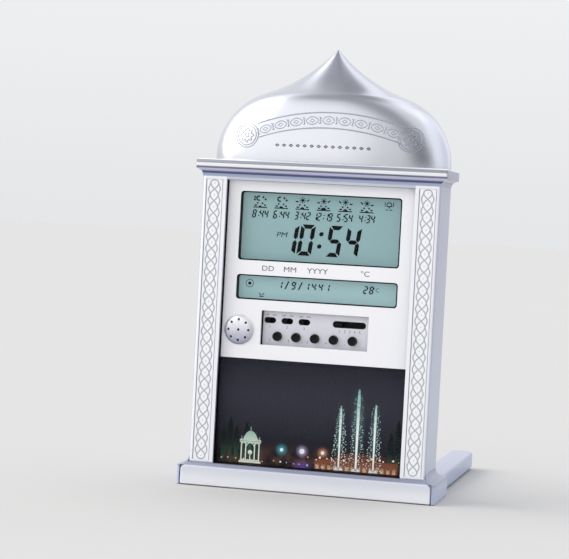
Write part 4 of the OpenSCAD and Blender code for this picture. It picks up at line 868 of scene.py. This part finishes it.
# ----------------------------------------------------------- dome ornament
# Moulded with the front shell: two raised arcs, a running pattern of pointed
# ovals and lozenges between them, and a ringed rosette at each end.
def laid_on_skin(form, lines):
    """Presses flat lines back onto the dome and gives them a round raised body."""
    lines = form.add("GeometryNodeMeshToCurve", {}, {0: lines})
    target = form.add("GeometryNodeObjectInfo", {"transform_space": "RELATIVE"}, {0: form.size("skin")},
                      out="Geometry")
    hit = form.add("GeometryNodeRaycast", {}, {
        0: target, "Ray Direction": (0.0, 1.0, 0.0), "Ray Length": 0.3}, out="Is Hit")
    lines = form.add("GeometryNodeSetPosition", {}, {0: lines, 1: hit, "Position": hit.also("Hit Position")})
    body = form.add("GeometryNodeCurvePrimitiveCircle", {}, {
        "Resolution": 8, "Radius": form.size("width") / 2})
    form.close(form.add("GeometryNodeCurveToMesh", {}, {0: lines, 1: body, "Fill Caps": True}))


relief = Form("raised_lines", width=float, skin=bpy.types.Object, finish=bpy.types.Material)
laid_on_skin(relief, relief.start)
# The raised lines are painted darker than the dome, as their shade.
relief_silver = lacquer("relief_silver", [
    (dome_foot, ink(158, 161, 172)), (dome_foot + 15, ink(164, 167, 177)),
    (dome_foot + 30, ink(172, 174, 183))], 0.4, 0.5)
before_dome = -150  # where the flat lines start, ahead of the skin that they are pressed onto


def through(left, top, right, count):
    """Points of x and z on the circle through three points."""
    (ax, az), (bx, bz), (cx, cz) = left, top, right
    d = 2 * (ax * (bz - cz) + bx * (cz - az) + cx * (az - bz))
    aa, bb, cc = ax * ax + az * az, bx * bx + bz * bz, cx * cx + cz * cz
    ux = (aa * (bz - cz) + bb * (cz - az) + cc * (az - bz)) / d
    uz = (aa * (cx - bx) + bb * (ax - cx) + cc * (bx - ax)) / d
    a, b = math.atan2(az - uz, ax - ux), math.atan2(cz - uz, cx - ux)
    r = math.hypot(ax - ux, az - uz)
    angles = [a + (b - a) * n / count for n in range(count + 1)]
    return [(ux + r * math.cos(angle), before_dome, uz + r * math.sin(angle)) for angle in angles]


for name, path in (("upper_arc", through((-40.4, 208.8), (1.2, 216.5), (45.0, 209.8), 60)),
                   ("lower_arc", through((-39.0, 200.9), (1.2, 207.6), (43.6, 200.6), 60))):
    relief.make(name, "silver_paint", path, [(n, n + 1) for n in range(60)], width=0.75 * MM,
                skin=front_shell, finish=relief_silver)

for name, x, z in (("left_rosette", -46.2, 202.1), ("right_rosette", 48.7, 203.2)):
    points, edges = [], []
    for radius, petals, swing, count in (
            (7.0, 0, 0, 48), (5.7, 0, 0, 40), (3.4, 8, 0.75, 64), (1.1, 0, 0, 16)):
        first = len(points)
        for n in range(count):
            a = 2 * math.pi * n / count
            r = radius + swing * math.cos(petals * a)
            points.append((x + r * math.cos(a), before_dome, z + r * math.sin(a)))
            edges.append((first + n, first + (n + 1) % count))
    relief.make(name, "silver_paint", points, edges, width=0.65 * MM, skin=front_shell, finish=relief_silver)

running = Form("running_pattern", width=float, count=int, motif=bpy.types.Object, skin=bpy.types.Object,
               finish=bpy.types.Material)
path = running.add("GeometryNodeMeshToCurve", {}, {0: running.start})
stations = running.add("GeometryNodeCurveToPoints", {"mode": "COUNT"}, {
    0: path, "Count": running.size("count")})
slope = running.add("ShaderNodeSeparateXYZ", {}, {0: stations.also(1)})
lean = slope.also(2).math("ARCTAN2", slope) * -1
turned = running.add("ShaderNodeCombineXYZ", {}, {1: lean})
figure = running.add("GeometryNodeObjectInfo", {}, {0: running.size("motif")}, out="Geometry")
pattern = running.add("GeometryNodeInstanceOnPoints", {}, {
    0: stations, "Instance": figure, "Rotation": turned})
laid_on_skin(running, running.add("GeometryNodeRealizeInstances", {}, {0: pattern}))


def line_figure(name, lines):
    """A small figure of open or closed lines, for the running pattern to repeat."""
    points, edges = [], []
    for line, closed in lines:
        first, last = len(points), len(points) + len(line) - 1
        points += [(x * MM, 0, z * MM) for x, z in line]
        edges += [(n, n + 1) for n in range(first, last)] + [(last, first)] * closed
    mesh = bpy.data.meshes.new(name)
    mesh.from_pydata(points, edges, [])
    return bpy.data.objects.new(name, mesh)


oval = [(3.5 * math.cos(t), 2.2 * math.sin(t) * abs(math.sin(t)) ** 0.4)
        for t in (2 * math.pi * n / 24 for n in range(24))]
lozenge = [(1.5, 0), (0, 1.0), (-1.5, 0), (0, -1.0)]
ties = [[(way * (4.1 + 0.5 * math.sin(t)), 2.0 * math.cos(t)) for t in (math.pi * n / 8 for n in range(9))]
        for way in (-1, 1)]
motif = line_figure("pattern_motif", [(oval, True), (lozenge, True), (ties[0], False), (ties[1], False)])
running.make("running_ornament", "silver_paint", through((-35.0, 205.9), (1.2, 212.0), (38.9, 206.4), 60),
             [(n, n + 1) for n in range(60)], width=0.55 * MM, count=9, motif=motif, skin=front_shell,
             finish=relief_silver)
bpy.data.objects.remove(motif)

# A plain row of small dark lozenges is printed below the arcs.
small_lozenge = [(1.0, 0), (0, 0.65), (-1.0, 0), (0, -0.65)]
motif = line_figure("lozenge", [(small_lozenge, True)])
running.make("lozenge_row", "black_plastic", through((-27.0, 196.9), (-0.5, 197.0), (26.0, 196.9), 30),
             [(n, n + 1) for n in range(30)], width=0.7 * MM, count=14, motif=motif, skin=front_shell,
             finish=printed("lozenge_print", ink(70, 71, 80), ink(120, 121, 130), 0.4))
bpy.data.objects.remove(motif)
